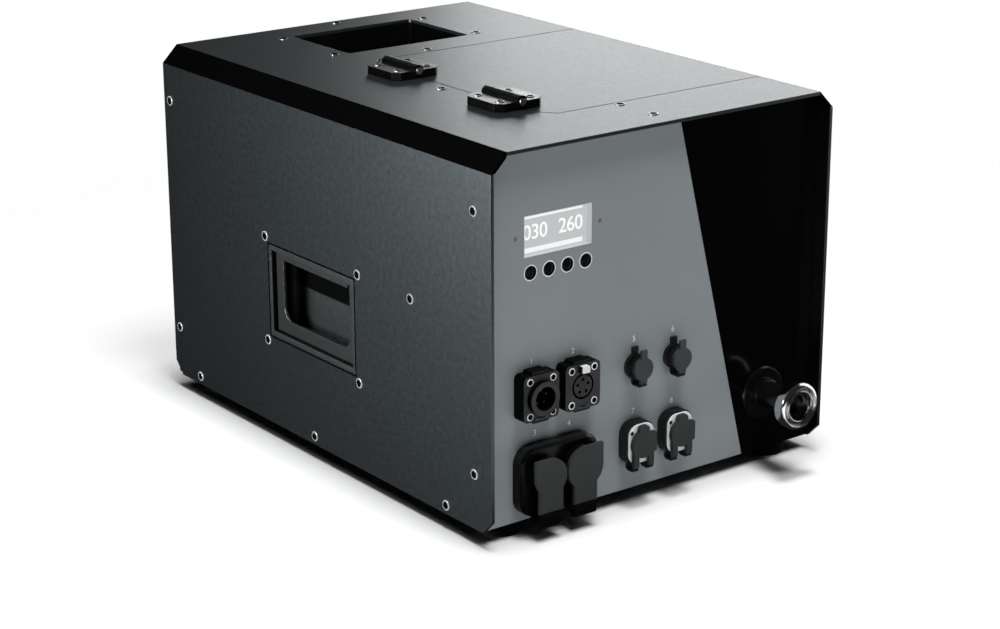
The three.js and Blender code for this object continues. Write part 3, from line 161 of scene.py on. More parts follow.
def rounded(across, tall, radius, steps=5, centre=(0, 0)):
    """The outline of a rounded rectangle."""
    points = []
    for turn, (sx, sy) in enumerate(((1, -1), (1, 1), (-1, 1), (-1, -1))):
        cx = centre[0] + sx * (across / 2 - radius)
        cy = centre[1] + sy * (tall / 2 - radius)
        for i in range(steps + 1):
            angle = math.pi / 2 * (turn - 1 + i / steps)
            points.append((cx + radius * math.cos(angle), cy + radius * math.sin(angle)))
    return points


def soften(node):
    """Shades the round faces of a CAD node smoothly. Its mesh keeps its shape."""
    mesh = nodes[node].data
    count = len(mesh.vertices)
    co = np.zeros(count * 3)
    mesh.vertices.foreach_get("co", co)
    _, spot = np.unique(np.round(co.reshape(-1, 3), 6), axis=0, return_inverse=True)
    spot = spot.reshape(-1)
    faces = [(tuple(p.loop_indices), tuple(spot[v] for v in p.vertices), p.normal.copy(), p.area)
             for p in mesh.polygons]
    around = {}
    for index, (_, spots, _, _) in enumerate(faces):
        for s in spots:
            around.setdefault(s, []).append(index)
    normals = [Vector((0, 0, 1))] * len(mesh.loops)
    limit = math.cos(SOFT_ANGLE)
    for loops, spots, normal, _ in faces:
        for loop, s in zip(loops, spots):
            total = Vector()
            for other in around[s]:
                if normal.dot(faces[other][2]) > limit:
                    total += faces[other][2] * faces[other][3]
            normals[loop] = total.normalized() if total.length > 0 else normal
    mesh.polygons.foreach_set("use_smooth", [True] * len(mesh.polygons))
    mesh.normals_split_custom_set(normals)


# Materials


class Look:
    """A node material on the object's own coordinates, with helpers for its usual details."""

    def __init__(self, name, colour, rough, metal=0.0, **sockets):
        self.material = bpy.data.materials.new(name)
        self.material.use_nodes = True
        self.tree = self.material.node_tree
        self.shader = self.tree.nodes["Principled BSDF"]
        self.shader.inputs["Metallic"].default_value = metal
        for socket, value in sockets.items():
            self.shader.inputs[socket.replace("_", " ")].default_value = value
        self.place = self.add("ShaderNodeTexCoord").outputs["Object"]
        self.normal = None
        self.colour = self.value_colour(colour)
        self.rough = self.number(rough)

    def add(self, kind, **settings):
        node = self.tree.nodes.new(kind)
        for key, value in settings.items():
            setattr(node, key, value)
        return node

    def link(self, source, target):
        self.tree.links.new(source, target)

    def value_colour(self, colour):
        node = self.add("ShaderNodeRGB")
        node.outputs[0].default_value = (*colour, 1)
        return node.outputs[0]

    def number(self, value):
        node = self.add("ShaderNodeValue")
        node.outputs[0].default_value = value
        return node.outputs[0]

    def maths(self, operation, a, b=None, clamp=False):
        node = self.add("ShaderNodeMath", operation=operation, use_clamp=clamp)
        for socket, source in zip(node.inputs, (a, b)):
            if source is None:
                continue
            if isinstance(source, (int, float)):
                socket.default_value = source
            else:
                self.link(source, socket)
        return node.outputs[0]

    def part_of(self, vector, letter):
        split = self.add("ShaderNodeSeparateXYZ")
        self.link(vector, split.inputs[0])
        return split.outputs[letter]

    def axis(self, letter):
        return self.part_of(self.place, letter)

    def turned(self, letter):
        """How far the face looks along an axis, from -1 to 1."""
        return self.part_of(self.add("ShaderNodeNewGeometry").outputs["Normal"], letter)

    def beyond(self, letter, limit):
        """1 past a place on an axis, and 0 before it."""
        return self.spread(self.axis(letter), limit - SKIN, limit + SKIN)

    def noise(self, scale, detail=4.0, stretch=(1, 1, 1)):
        mapping = self.add("ShaderNodeMapping")
        mapping.inputs["Scale"].default_value = stretch
        self.link(self.place, mapping.inputs["Vector"])
        node = self.add("ShaderNodeTexNoise")
        node.inputs["Scale"].default_value = scale
        node.inputs["Detail"].default_value = detail
        self.link(mapping.outputs[0], node.inputs["Vector"])
        return node.outputs["Fac"]

    def spread(self, source, low, high, to_low=0.0, to_high=1.0):
        node = self.add("ShaderNodeMapRange")
        self.link(source, node.inputs["Value"])
        for socket, value in zip(("From Min", "From Max", "To Min", "To Max"), (low, high, to_low, to_high)):
            node.inputs[socket].default_value = value
        return node.outputs[0]

    def blend(self, amount, colour):
        """Mixes another colour in where amount is 1."""
        node = self.add("ShaderNodeMix", data_type="RGBA")
        self.link(amount, node.inputs[0])
        self.link(self.colour, node.inputs[6])
        node.inputs[7].default_value = (*colour, 1)
        self.colour = node.outputs[2]
        return self

    def mottle(self, scale, low, high):
        """Lightens and darkens the colour in soft patches."""
        node = self.add("ShaderNodeMix", data_type="RGBA", blend_type="MULTIPLY")
        node.inputs[0].default_value = 1
        self.link(self.colour, node.inputs[6])
        tone = self.spread(self.noise(scale), 0.3, 0.7, low, high)
        grey = self.add("ShaderNodeCombineColor")
        for socket in grey.inputs:
            self.link(tone, socket)
        self.link(grey.outputs[0], node.inputs[7])
        self.colour = node.outputs[2]
        return self

    def vary_rough(self, scale, amount, stretch=(1, 1, 1)):
        patch = self.spread(self.noise(scale, stretch=stretch), 0.3, 0.7, -amount, amount)
        self.rough = self.maths("ADD", self.rough, patch, clamp=True)
        return self

    def set_rough(self, amount, value):
        """Mixes another roughness in where amount is 1."""
        step = self.maths("MULTIPLY", self.maths("SUBTRACT", value, self.rough), amount)
        self.rough = self.maths("ADD", self.rough, step, clamp=True)
        return self

    def bump(self, height, strength, distance):
        node = self.add("ShaderNodeBump")
        node.inputs["Strength"].default_value = strength
        node.inputs["Distance"].default_value = distance
        self.link(height, node.inputs["Height"])
        if self.normal:
            self.link(self.normal, node.inputs["Normal"])
        self.normal = node.outputs[0]
        return self

    def edges(self, radius, colour=None, strength=1.0):
        """Rounds the edges' shading and lets a lighter tone show along them: wear, and on the powder coat
        also a painted edge highlight.
        """
        node = self.add("ShaderNodeBevel", samples=4)
        node.inputs["Radius"].default_value = radius
        if colour:
            dot = self.add("ShaderNodeVectorMath", operation="DOT_PRODUCT")
            self.link(node.outputs[0], dot.inputs[0])
            self.link(self.add("ShaderNodeNewGeometry").outputs["Normal"], dot.inputs[1])
            wear_and_highlight = self.spread(dot.outputs["Value"], 0.995, 0.85, 0.0, strength)
            self.blend(wear_and_highlight, colour)
        self.normal = node.outputs[0]
        return self

    def coated(self):
        """The powder coat's soft patches, and its edges lighter, partly wear and partly a painted edge
        highlight.
        """
        return self.mottle(scale=22, low=0.98, high=1.015).edges(COAT_EDGE, PAINT_WEAR_AND_HIGHLIGHT, 0.5)

    def grained(self):
        """Ends a powder coat with its fine grain."""
        return self.bump(self.noise(scale=2600, detail=2), strength=0.12, distance=0.0002).done()

    def done(self):
        """Joins what was built to the shader. What is the same all over goes on its own socket."""
        for source, socket in ((self.colour, "Base Color"), (self.rough, "Roughness")):
            if source.node.type in ("RGB", "VALUE"):
                self.shader.inputs[socket].default_value = source.default_value
                self.tree.nodes.remove(source.node)
            else:
                self.link(source, self.shader.inputs[socket])
        if self.normal:
            self.link(self.normal, self.shader.inputs["Normal"])
        return self.material


# Colours of the coats and finishes, and of the painted light and shade, as linear light
PAINT = (0.073, 0.087, 0.092)
# Lighter tone on the coat's edges: partly wear, partly a painted edge highlight
PAINT_WEAR_AND_HIGHLIGHT = (0.17, 0.18, 0.185)
GRIP_PAINT = (0.06, 0.065, 0.068)
HIDDEN_PAINT = (0.02, 0.021, 0.022)
CUP_PAINT = (0.078, 0.086, 0.089)
# Handle cups: a lit field and a shadow, both painted on the floor
CUP_LIT_FIELD = (0.085, 0.097, 0.101)
CUP_SHADE = (0.003, 0.0033, 0.0035)
# Black for faces inside recesses, as painted shade
RECESS_SHADE = (0.002, 0.002, 0.002)
FRONT_GREY = (0.264, 0.298, 0.312)
FRONT_BLACK = (0.0012, 0.0012, 0.0013)
RAIL_BLACK = (0.0006, 0.0006, 0.0006)
RAIL_SPECK = (0.006, 0.006, 0.006)
WELL_BLACK = (0.004, 0.004, 0.0045)
WELL_SOOT = (0.012, 0.009, 0.007)
WELL_WORN = (0.03, 0.03, 0.031)
BOARD_GREEN = (0.012, 0.06, 0.03)
BOARD_RUNS = (0.05, 0.14, 0.06)
CHIP_BLACK = (0.02, 0.02, 0.022)
# Data sockets: shaded sides and a lit grey front face, both painted
DATA_SHADED_SIDES = (0.0015, 0.0015, 0.0016)
DATA_LIT_FACE = (0.042, 0.044, 0.046)
LATCH_BLACK = (0.004, 0.004, 0.004)
# Painted reflection: the white glint on the latch's chrome tab
LATCH_GLINT = (0.86, 0.87, 0.88)
WHITE = (0.93, 0.93, 0.94)
RING_STEEL = (0.42, 0.43, 0.44)
FLOOR_WHITE = (0.86, 0.86, 0.86)

# Powder coat
COAT_ROUGH = 0.38
COAT_METAL = 0.88
COAT_EDGE = 0.0007
COAT_VARIES = {"scale": 260, "amount": 0.02}

# Handle cups: where the rim ends, how deep the walls painted as shade go, and the painted shadow on the
# floor
CUP_RIM = (0.0008, 0.0012)
THROAT_DEEP = 0.02
THROAT_SOFT = 0.004
SHADE_LOW = 0.1142
SHADE_SOFT = 0.0006
SHADE_BACK = (0.056, 0.080)

# Front panel: a point on the line between its two colours, the line's slope and softness
FRONT_LINE = (0.0186, 0.2668)
FRONT_SLOPE = -0.2542
FRONT_SOFT = 0.00015

# Data sockets: how far out the grey face painted as lit starts, and half the size of the latch's oval
# painted as a glint
DATA_FACE_OUT = (0.0095, 0.0105)
LATCH_OVAL = (0.0034, 0.0031)


def powder_coat(name, colour=PAINT, rough=COAT_ROUGH, metal=COAT_METAL):
    look = Look(name, colour, rough, metal, Specular_IOR_Level=0.5)
    return look.coated().vary_rough(**COAT_VARIES).grained()


def inner_shade_coat():
    """The housing's coat outside, and black on the face that looks inward, as painted shade."""
    look = Look("housing_coat_inner_shade", PAINT, COAT_ROUGH, Specular_IOR_Level=0.5)
    inner = look.spread(look.turned("X"), -0.4, -0.6)
    look.coated().blend(inner, RECESS_SHADE).vary_rough(**COAT_VARIES)
    outer = look.maths("SUBTRACT", 1.0, inner)
    look.link(look.maths("MULTIPLY", outer, COAT_METAL), look.shader.inputs["Metallic"])
    return look.grained()


def shaded_cup_coat():
    """The handle cups: a coated rim, black walls inside as painted shade, a lighter field low on the floor
    as painted light, and a painted shadow on the floor high up and towards the back.
    """
    look = Look("handle_cup_coat_painted_shade", CUP_PAINT, 0.45, 0.75, Specular_IOR_Level=0.15)
    depth = look.maths("SUBTRACT", RIGHT_X, look.maths("ABSOLUTE", look.axis("X")))
    past_rim = look.spread(depth, *CUP_RIM)
    on_wall = look.spread(depth, THROAT_DEEP, THROAT_DEEP - THROAT_SOFT)
    look.coated().blend(look.maths("MULTIPLY", past_rim, on_wall), RECESS_SHADE).vary_rough(**COAT_VARIES)
    on_floor = look.spread(depth, THROAT_DEEP, THROAT_DEEP + THROAT_SOFT)
    above = look.spread(look.axis("Z"), SHADE_LOW - SHADE_SOFT, SHADE_LOW + SHADE_SOFT)
    behind = look.spread(look.axis("Y"), *SHADE_BACK)
    shade = look.maths("MULTIPLY", on_floor, look.maths("MAXIMUM", above, behind))
    return look.blend(on_floor, CUP_LIT_FIELD).blend(shade, CUP_SHADE).grained()


def front_coat():
    """Grey coat on the left, glossy black right of a slanting line."""
    look = Look("front_panel_coat", FRONT_GREY, 0.5, Specular_IOR_Level=0.3)
    look.mottle(scale=7, low=0.96, high=1.03)
    line_x, line_z = FRONT_LINE
    across = look.maths("SUBTRACT", look.axis("X"), line_x)
    rise = look.maths("MULTIPLY", look.maths("SUBTRACT", look.axis("Z"), line_z), FRONT_SLOPE)
    black = look.spread(look.maths("SUBTRACT", across, rise), -FRONT_SOFT, FRONT_SOFT)
    look.blend(black, FRONT_BLACK).set_rough(black, 0.12)
    look.edges(radius=0.0005).vary_rough(scale=40, amount=0.015)
    return look.bump(look.noise(scale=2400, detail=2), strength=0.06, distance=0.0001).done()


def rail_coat():
    """The speckled black strips along the roof's edges."""
    look = Look("edge_rail_coat", RAIL_BLACK, 0.8, Specular_IOR_Level=0.01)
    look.blend(look.spread(look.noise(scale=1300, detail=3), 0.6, 0.75), RAIL_SPECK)
    return look.bump(look.noise(scale=700, detail=3), strength=0.6, distance=0.0006).done()


def plastic(name, colour, rough, grain=1800, strength=0.15, edge=0.0005, **sockets):
    look = Look(name, colour, rough, **sockets)
    look.mottle(scale=60, low=0.9, high=1.1).edges(edge).vary_rough(scale=120, amount=0.04)
    return look.bump(look.noise(grain, detail=2), strength, distance=0.0002).done()


def metal(name, colour, rough, brushed=(1, 1, 14), edge=0.0004):
    look = Look(name, colour, rough, 1.0)
    look.mottle(scale=80, low=0.94, high=1.04).edges(edge)
    look.vary_rough(scale=300, amount=0.05, stretch=brushed)
    return look.bump(look.noise(700, 3, brushed), strength=0.05, distance=0.00008).done()


def two_tone(name, letter, limit, before, past, past_is_metal=False):
    """One moulded unit of two materials that meet at a place on an axis."""
    look = Look(name, before, 0.45)
    amount = look.beyond(letter, limit)
    look.blend(amount, past).mottle(scale=150, low=0.9, high=1.08).edges(radius=0.0003)
    if past_is_metal:
        look.link(amount, look.shader.inputs["Metallic"])
        look.set_rough(amount, 0.3)
    return look.bump(look.noise(scale=900, detail=3), strength=0.1, distance=0.0002).done()


def well_coat():
    """The flame well's sheet: black, with soot near the mouth."""
    look = Look("flame_well_coat", WELL_BLACK, 0.7, 0.05, Specular_IOR_Level=0.02)
    low, high = box_of("flame_well")
    height = look.spread(look.axis("Z"), low.z, high.z)
    patches = look.spread(look.noise(scale=35), 0.45, 0.7)
    soot = look.maths("MULTIPLY", patches, height, clamp=True)
    look.blend(look.maths("MULTIPLY", soot, 0.5), WELL_SOOT).edges(0.0006, WELL_WORN, 0.2)
    look.vary_rough(scale=50, amount=0.12)
    return look.bump(look.noise(scale=1500, detail=3), strength=0.2, distance=0.0002).done()


def board_look(name, letter, limit):
    """A printed board with copper runs under its mask, and dark parts above it."""
    look = Look(name, BOARD_GREEN, 0.4)
    runs = look.add("ShaderNodeTexBrick")
    runs.inputs["Scale"].default_value = 120
    runs.inputs["Mortar Size"].default_value = 0.03
    look.link(look.place, runs.inputs["Vector"])
    look.blend(look.maths("MULTIPLY", runs.outputs["Fac"], 0.6), BOARD_RUNS)
    look.blend(look.beyond(letter, limit), CHIP_BLACK).edges(radius=0.0003)
    return look.bump(look.noise(scale=1200, detail=3), strength=0.1, distance=0.0002).done()


def glow(name, colour, strength, base=0.02):
    look = Look(name, (base, base, base), 0.5)
    look.mottle(scale=400, low=0.97, high=1.0)
    look.shader.inputs["Emission Strength"].default_value = strength
    look.shader.inputs["Emission Color"].default_value = (*colour, 1)
    return look.done()


def top_sheen(name, colour, rough, dull, start, full, edge):
    """A black moulding whose gloss is painted by facing: low on its sides so they stay dark as painted
    shade, full on the faces that look up as a painted sheen.
    """
    look = Look(name, colour, rough)
    sheen = look.spread(look.turned("Z"), start, full, dull, 1.0)
    look.link(sheen, look.shader.inputs["Specular IOR Level"])
    look.mottle(scale=60, low=0.9, high=1.1).edges(edge).vary_rough(scale=120, amount=0.04)
    return look.bump(look.noise(scale=900, detail=2), strength=0.1, distance=0.0002).done()


def data_look():
    """The data sockets: a grey front face as painted light, with black sides and bore as painted shade."""
    look = Look("data_socket_lit_and_shaded", DATA_SHADED_SIDES, 0.55, Specular_IOR_Level=0.06)
    front = look.spread(look.turned("Y"), -0.6, -0.9)
    ahead = look.spread(look.axis("Y"), *(PANEL_Y - out for out in DATA_FACE_OUT))
    look.blend(look.maths("MULTIPLY", front, ahead), DATA_LIT_FACE)
    look.mottle(scale=60, low=0.9, high=1.1).edges(radius=0.0004).vary_rough(scale=120, amount=0.04)
    return look.bump(look.noise(scale=1800, detail=2), strength=0.15, distance=0.0002).done()


def latch_look():
    """The latch: black, with a white oval painted on as the glint of its chrome tab."""
    centre = middle("data_out_latch")
    look = Look("latch_painted_glint", LATCH_BLACK, 0.35)
    cubes = []
    for letter, here, half in (("X", centre.x, LATCH_OVAL[0]), ("Z", centre.z, LATCH_OVAL[1])):
        share = look.maths("DIVIDE", look.maths("SUBTRACT", look.axis(letter), here), half)
        cubes.append(look.maths("POWER", look.maths("ABSOLUTE", share), 3))
    oval = look.spread(look.maths("ADD", *cubes), 1.1, 0.9)
    look.blend(oval, LATCH_GLINT).mottle(scale=60, low=0.95, high=1.0).edges(radius=0.0003)
    return look.bump(look.noise(scale=1200, detail=2), strength=0.05, distance=0.0002).done()


def clear_window():
    """A clear sheet: mostly open, with a little mirror on its outer face."""
    look = Look("display_glass", (0.02, 0.02, 0.02), 0.05)
    look.vary_rough(scale=90, amount=0.03).done()
    clear = look.add("ShaderNodeBsdfTransparent")
    fresnel = look.add("ShaderNodeFresnel")
    outer = look.maths("SUBTRACT", 1.0, look.add("ShaderNodeNewGeometry").outputs["Backfacing"])
    mirror = look.maths("MULTIPLY", fresnel.outputs[0], 0.6)
    mix = look.add("ShaderNodeMixShader")
    look.link(look.maths("MULTIPLY", mirror, outer, clamp=True), mix.inputs[0])
    look.link(clear.outputs[0], mix.inputs[1])
    look.link(look.shader.outputs[0], mix.inputs[2])
    look.link(mix.outputs[0], look.tree.nodes["Material Output"].inputs["Surface"])
    return look.material


# Finishes
coat = powder_coat("housing_coat")
grip_coat = powder_coat("handle_coat", GRIP_PAINT, rough=0.45, metal=0.75)
hidden_coat = powder_coat("inner_sheet_coat", HIDDEN_PAINT, rough=0.55, metal=0.3)
strip = rail_coat()
socket_black = plastic("socket_plastic", (0.007, 0.0075, 0.008), 0.4, Specular_IOR_Level=0.4)
hinge_black = top_sheen("hinge_casting", (0.004, 0.0042, 0.0044), rough=0.33, dull=0.08, start=0.65,
                        full=0.85, edge=0.0006)
data_sides = data_look()
data_plastic = plastic("data_socket_plastic", (0.034, 0.036, 0.038), 0.42, Specular_IOR_Level=0.35)
mains_gloss = top_sheen("mains_housing", (0.002, 0.002, 0.0022), rough=0.3, dull=0.18, start=0.1,
                        full=0.8, edge=0.0012)
cap_grey = plastic("cap_rubber", (0.048, 0.056, 0.056), 0.62, grain=1400, strength=0.12, edge=0.0006,
                   Specular_IOR_Level=0.15)
cover_grey = plastic("cover_rubber", (0.030, 0.036, 0.036), 0.62, grain=1400, strength=0.12,
                     edge=0.0006, Specular_IOR_Level=0.35)
# Black rubber, darkened further as painted shade under the housing
foot_rubber = plastic("foot_rubber", (0.0025, 0.0025, 0.0025), 0.85, grain=700, strength=0.4,
                      edge=0.001, Specular_IOR_Level=0.1)
hose_rubber = plastic("hose_rubber", (0.012, 0.012, 0.013), 0.6, grain=800, strength=0.4, edge=0.001)
chrome = metal("polished_chrome", (0.88, 0.89, 0.90), 0.12, edge=0.0012)
steel = metal("machined_steel", (0.55, 0.56, 0.57), 0.28)
dull_steel = metal("plated_steel", RING_STEEL, 0.4, brushed=(1, 12, 1))
brass = metal("turned_brass", (0.72, 0.50, 0.22), 0.28)
tank_metal = metal("brushed_aluminium", (0.62, 0.63, 0.64), 0.38, brushed=(1, 14, 1), edge=0.0012)
pin_metal = metal("contact_metal", (0.10, 0.095, 0.08), 0.5)
dark_hole = plastic("socket_shadow", (0.002, 0.002, 0.002), 0.8, Specular_IOR_Level=0.02)
# Near-white paint on steel screw rims, as a painted reflection
bright_ring = plastic("bright_ring", (0.80, 0.81, 0.82), 0.3, grain=1200, strength=0.05, edge=0.0002)
black_ring = metal("blackened_ring", (0.05, 0.05, 0.05), 0.35, edge=0.0002)
dim_ring = metal("dim_ring", RING_STEEL, 0.34, edge=0.0002)
# White paint on the metal arm plates and chrome button rings, as a painted reflection
plate_white = plastic("bright_plate", WHITE, 0.35, grain=1200, strength=0.05, edge=0.0003)
print_white = plastic("printed_mark", WHITE, 0.6, grain=2000, strength=0.05, edge=0.0001)
gloss_black = plastic("gloss_black", (0.004, 0.004, 0.0045), 0.18, grain=400, strength=0.05,
                      edge=0.0006, Specular_IOR_Level=0.5)

looks = {
    "left_side_panel": coat, "right_side_panel": inner_shade_coat(), "top_plate": coat,
    "service_lid": coat, "back_panel": coat, "bottom_plate": hidden_coat,
    "left_handle_cup": shaded_cup_coat(), "right_handle_cup": shaded_cup_coat(),
    "left_grip_plate": grip_coat, "right_grip_plate": grip_coat,
    "left_edge_rail": strip, "right_edge_rail": strip,
    "front_panel": front_coat(), "flame_well": well_coat(), "display_window": clear_window(),
    "fuel_tank": tank_metal, "tank_cap": socket_black, "pump_motor": hidden_coat,
    "pump_head": brass, "flame_nozzle": brass, "power_supply": dull_steel,
    "ignition_transformer": gloss_black, "coupling_body": gloss_black, "coupling_sleeve": chrome,
    "coupling_poppet": steel, "mains_socket": mains_gloss, "data_out_latch": latch_look(),
    "rear_hinge_pin": steel, "front_hinge_pin": steel,
}
for node in nodes:
    if node in looks:
        continue
    if node.endswith("_foot"):
        looks[node] = foot_rubber
    elif node.endswith("_hose"):
        looks[node] = hose_rubber
    elif node.endswith("_leaf"):
        looks[node] = hinge_black
    elif node.startswith("trigger") and node.endswith(("_cover", "_cap")):
        looks[node] = cap_grey
    elif node.endswith(("_cover", "_cap")):
        looks[node] = cover_grey
    elif node.startswith("data_"):
        looks[node] = data_sides
    elif node.endswith("_socket"):
        looks[node] = socket_black
    elif node.startswith("button"):
        looks[node] = gloss_black

# Units of two materials: how far below the upper end the second one starts
CERAMIC_DOWN = 0.0098
COIL_DOWN = 0.0285
CHIPS_DOWN = 0.009
BOARD_DOWN = 0.0017
looks["igniter"] = two_tone("igniter_finish", "Z", box_of("igniter")[1].z - CERAMIC_DOWN,
                            (0.75, 0.72, 0.64), (0.30, 0.30, 0.31), past_is_metal=True)
looks["solenoid_valve"] = two_tone("valve_finish", "Z", box_of("solenoid_valve")[1].z - COIL_DOWN,
                                   (0.012, 0.012, 0.013), (0.55, 0.42, 0.2), past_is_metal=True)
looks["main_board"] = board_look("main_board_finish", "X", box_of("main_board")[1].x - CHIPS_DOWN)
looks["display_unit"] = two_tone("display_unit_finish", "Y", box_of("display_unit")[1].y - BOARD_DOWN,
                                 (0.40, 0.42, 0.43), BOARD_GREEN)

for name, node in nodes.items():
    soften(name)
    for slot in node.material_slots:
        slot.material = looks[name]


# Screws

SCREW_RADIUS = 0.0037
SCREW_HEAD = 0.00055
SMALL_SCREW = 0.0026
SMALL_HEAD = 0.0004
SOCKET_SHARE = 0.50
RIM_SHARE = 0.74
CROWN_SHARE = 0.93


def screw_head(bm, matrix, radius, head=SCREW_HEAD):
    """A flat head with a bright rim round a dark hexagon socket."""
    socket = radius * SOCKET_SHARE
    floor = head * 0.2
    profile = [(0, floor), (socket, floor), (socket, head * 0.85), (radius * RIM_SHARE, head),
               (radius * CROWN_SHARE, head), (radius, head * 0.55), (radius, 0)]
    lathe(bm, profile, matrix, SMALL_ROUND, [1, 1, 2, 0, 0, 0], hexed=(1, 2))


# The default rim is the near-white painted reflection of the screws' steel
def screws(name, places, outward, body, radius=SCREW_RADIUS, rim=bright_ring):
    bm = bmesh.new()
    for place in places:
        screw_head(bm, facing(outward, place), radius)
    piece(name, bm, [rim, dark_hole, dark_hole], body)


def mirrored_pairs(centre, across, tall):
    return [(centre[0] + sx * across, centre[1] + sz * tall) for sx in (-1, 1) for sz in (-1, 1)]


# Screws of the side panels: corners, handle, bottom row and one alone
EDGE_BACK = 0.0085
EDGE_FRONT = 0.0189
CORNER_HIGH = 0.2203
CORNER_LOW = 0.0393
ROW_HIGH = 0.0064
ROW_BACK = 0.0375
ROW_PITCH = 0.1621
LONE_FRONT = 0.0904
LONE_HIGH = 0.143
HANDLE_SCREW_ACROSS = 0.0598
HANDLE_SCREW_TALL = 0.0398
SIDES = (("left", LEFT_X, (-1, 0, 0)), ("right", RIGHT_X, (1, 0, 0)))
for side, x, outward in SIDES:
    handle = middle(f"{side}_handle_cup")
    spots = [(BACK_Y - EDGE_BACK, BASE_Z + CORNER_HIGH), (FRONT_Y + EDGE_FRONT, BASE_Z + CORNER_HIGH),
             (BACK_Y - EDGE_BACK, BASE_Z + CORNER_LOW), (FRONT_Y + EDGE_FRONT, BASE_Z + CORNER_LOW),
             (FRONT_Y + LONE_FRONT, BASE_Z + LONE_HIGH)]
    spots += [(BACK_Y - ROW_BACK - i * ROW_PITCH, BASE_Z + ROW_HIGH) for i in range(3)]
    spots += mirrored_pairs((handle.y, handle.z), HANDLE_SCREW_ACROSS, HANDLE_SCREW_TALL)
    screws(f"{side}_panel_screws", [(x, y, z) for y, z in spots], outward, FIXED)

# Seals round the handles
HANDLE_ACROSS = 0.1105
HANDLE_TALL = 0.070
SEAL_WIDE = 0.0013
SEAL_HIGH = 0.00025
SEAL_LONG = HANDLE_TALL + 2 * SEAL_WIDE
for side, x, outward in SIDES:
    handle = middle(f"{side}_handle_cup")
    seal = bmesh.new()
    place = facing(outward, (x, handle.y, handle.z))
    for width, height, u, v in ((SEAL_WIDE, SEAL_LONG, 0.5, 0), (SEAL_WIDE, SEAL_LONG, -0.5, 0),
                                (HANDLE_ACROSS, SEAL_WIDE, 0, 0.5), (HANDLE_ACROSS, SEAL_WIDE, 0, -0.5)):
        centre = (u * (HANDLE_ACROSS + SEAL_WIDE), v * (HANDLE_TALL + SEAL_WIDE))
        outline = rounded(width, height, SEAL_WIDE * 0.1, 1, centre)
        prism(seal, outline, place, 0, SEAL_HIGH, SEAL_HIGH * 0.3)
    piece(f"{side}_handle_seal", seal, [dark_hole], FIXED)

# Screws of the roof: round the flame opening, and along the lid's left and front
WELL_SCREW_END = 0.062
WELL_SCREW_SIDE = 0.0655
WELL_SCREW_LONG = 0.0354
LID_SCREW_OUT = 0.009
LID_SCREW_BACK = 0.0015
LID_SCREW_AHEAD = 0.0059
ROOF_SCREW_FRONT = 0.0212
well = middle("flame_well")
lid = middle("service_lid")
lid_low = box_of("service_lid")[0]
roof_spots = [(well.x, well.y + WELL_SCREW_END), (well.x, well.y - WELL_SCREW_END)]
roof_spots += mirrored_pairs((well.x, well.y), WELL_SCREW_SIDE, WELL_SCREW_LONG)
roof_spots += [(lid_low.x - LID_SCREW_OUT, lid.y + LID_SCREW_BACK), (well.x, lid_low.y - LID_SCREW_AHEAD),
               (well.x, FRONT_Y + ROOF_SCREW_FRONT)]
screws("roof_screws", [(x, y, TOP_Z) for x, y in roof_spots], (0, 0, 1), FIXED, rim=dim_ring)

# Screws of the back panel
BACK_SCREW_ACROSS = 0.132
BACK_SCREW_HIGH = (0.03, 0.128, 0.226)
back_spots = [(sx * BACK_SCREW_ACROSS, BASE_Z + z) for sx in (-1, 1) for z in BACK_SCREW_HIGH]
screws("back_panel_screws", [(x, BACK_Y, z) for x, z in back_spots], (0, 1, 0), FIXED)

# Screws of the hinge leaves
LEAF_HIGH = 0.006
LEAF_SCREW = 0.0032
LEAF_SCREW_IN = 0.0072
LEAF_SCREW_ALONG = 0.0122
for end in ("rear", "front"):
    for leaf, body in ((f"{end}_hinge_fixed_leaf", FIXED), (f"{end}_hinge_lid_leaf", "lid")):
        low, high = box_of(leaf)
        x = low.x + LEAF_SCREW_IN if body == FIXED else high.x - LEAF_SCREW_IN
        centre = (low.y + high.y) / 2
        places = [(x, centre + s * LEAF_SCREW_ALONG, TOP_Z + LEAF_HIGH) for s in (-1, 1)]
        screws(f"{leaf}_screws", places, (0, 0, 1), body, LEAF_SCREW, dim_ring)


# Display: the lit screen, two bars on it, its bezel glowing with painted light from the screen, and two
# plain numbers

FINE_CORNER = 0.0002
SCREEN_GAP = 0.0003
SCREEN_SINK = 0.00002
SCREEN_THICK = 0.0001
MARGIN_SHARE = 0.07
BAR_SHARE = 0.12
BAR_PLACES = (0.43, -0.40)
BAR_THICK = 0.00005
BEZEL_THICK = 0.00025
DIGIT_SHARE = 0.51
DIGIT_RISE = 0.02
DIGIT_OUT = 0.00006
DIGIT_SPACING = 0.96
DIGIT_BOLD = 0.00012
DIGITS = (("display_digits_left", "030", -0.275), ("display_digits_right", "260", 0.25))


def front_frame(x, z, y=PANEL_Y):
    return facing((0, -1, 0), (x, y, z))


window_low, window_high = box_of("display_window")
window = (window_low + window_high) / 2
WINDOW_ACROSS = window_high.x - window_low.x
WINDOW_TALL = window_high.z - window_low.z
screen_back = window_high.y + SCREEN_GAP - SCREEN_SINK
screen_frame = front_frame(window.x, window.z, screen_back)

screen = bmesh.new()
prism(screen, rounded(WINDOW_ACROSS, WINDOW_TALL, FINE_CORNER, 1), screen_frame, 0, SCREEN_THICK)
piece("display_screen", screen, [glow("screen_glow", (0.60, 0.63, 0.64), 0.86)], FIXED, smooth=False)

bars = bmesh.new()
bar_across = WINDOW_ACROSS * (1 - MARGIN_SHARE)
bar_x = -WINDOW_ACROSS * MARGIN_SHARE / 2
for share in BAR_PLACES:
    outline = rounded(bar_across, WINDOW_TALL * BAR_SHARE, FINE_CORNER, 1, (bar_x, WINDOW_TALL * share))
    prism(bars, outline, screen_frame, SCREEN_THICK, SCREEN_THICK + BAR_THICK)
piece("display_bars", bars, [glow("bar_glow", (0.95, 0.97, 0.97), 0.95)], FIXED, smooth=False)


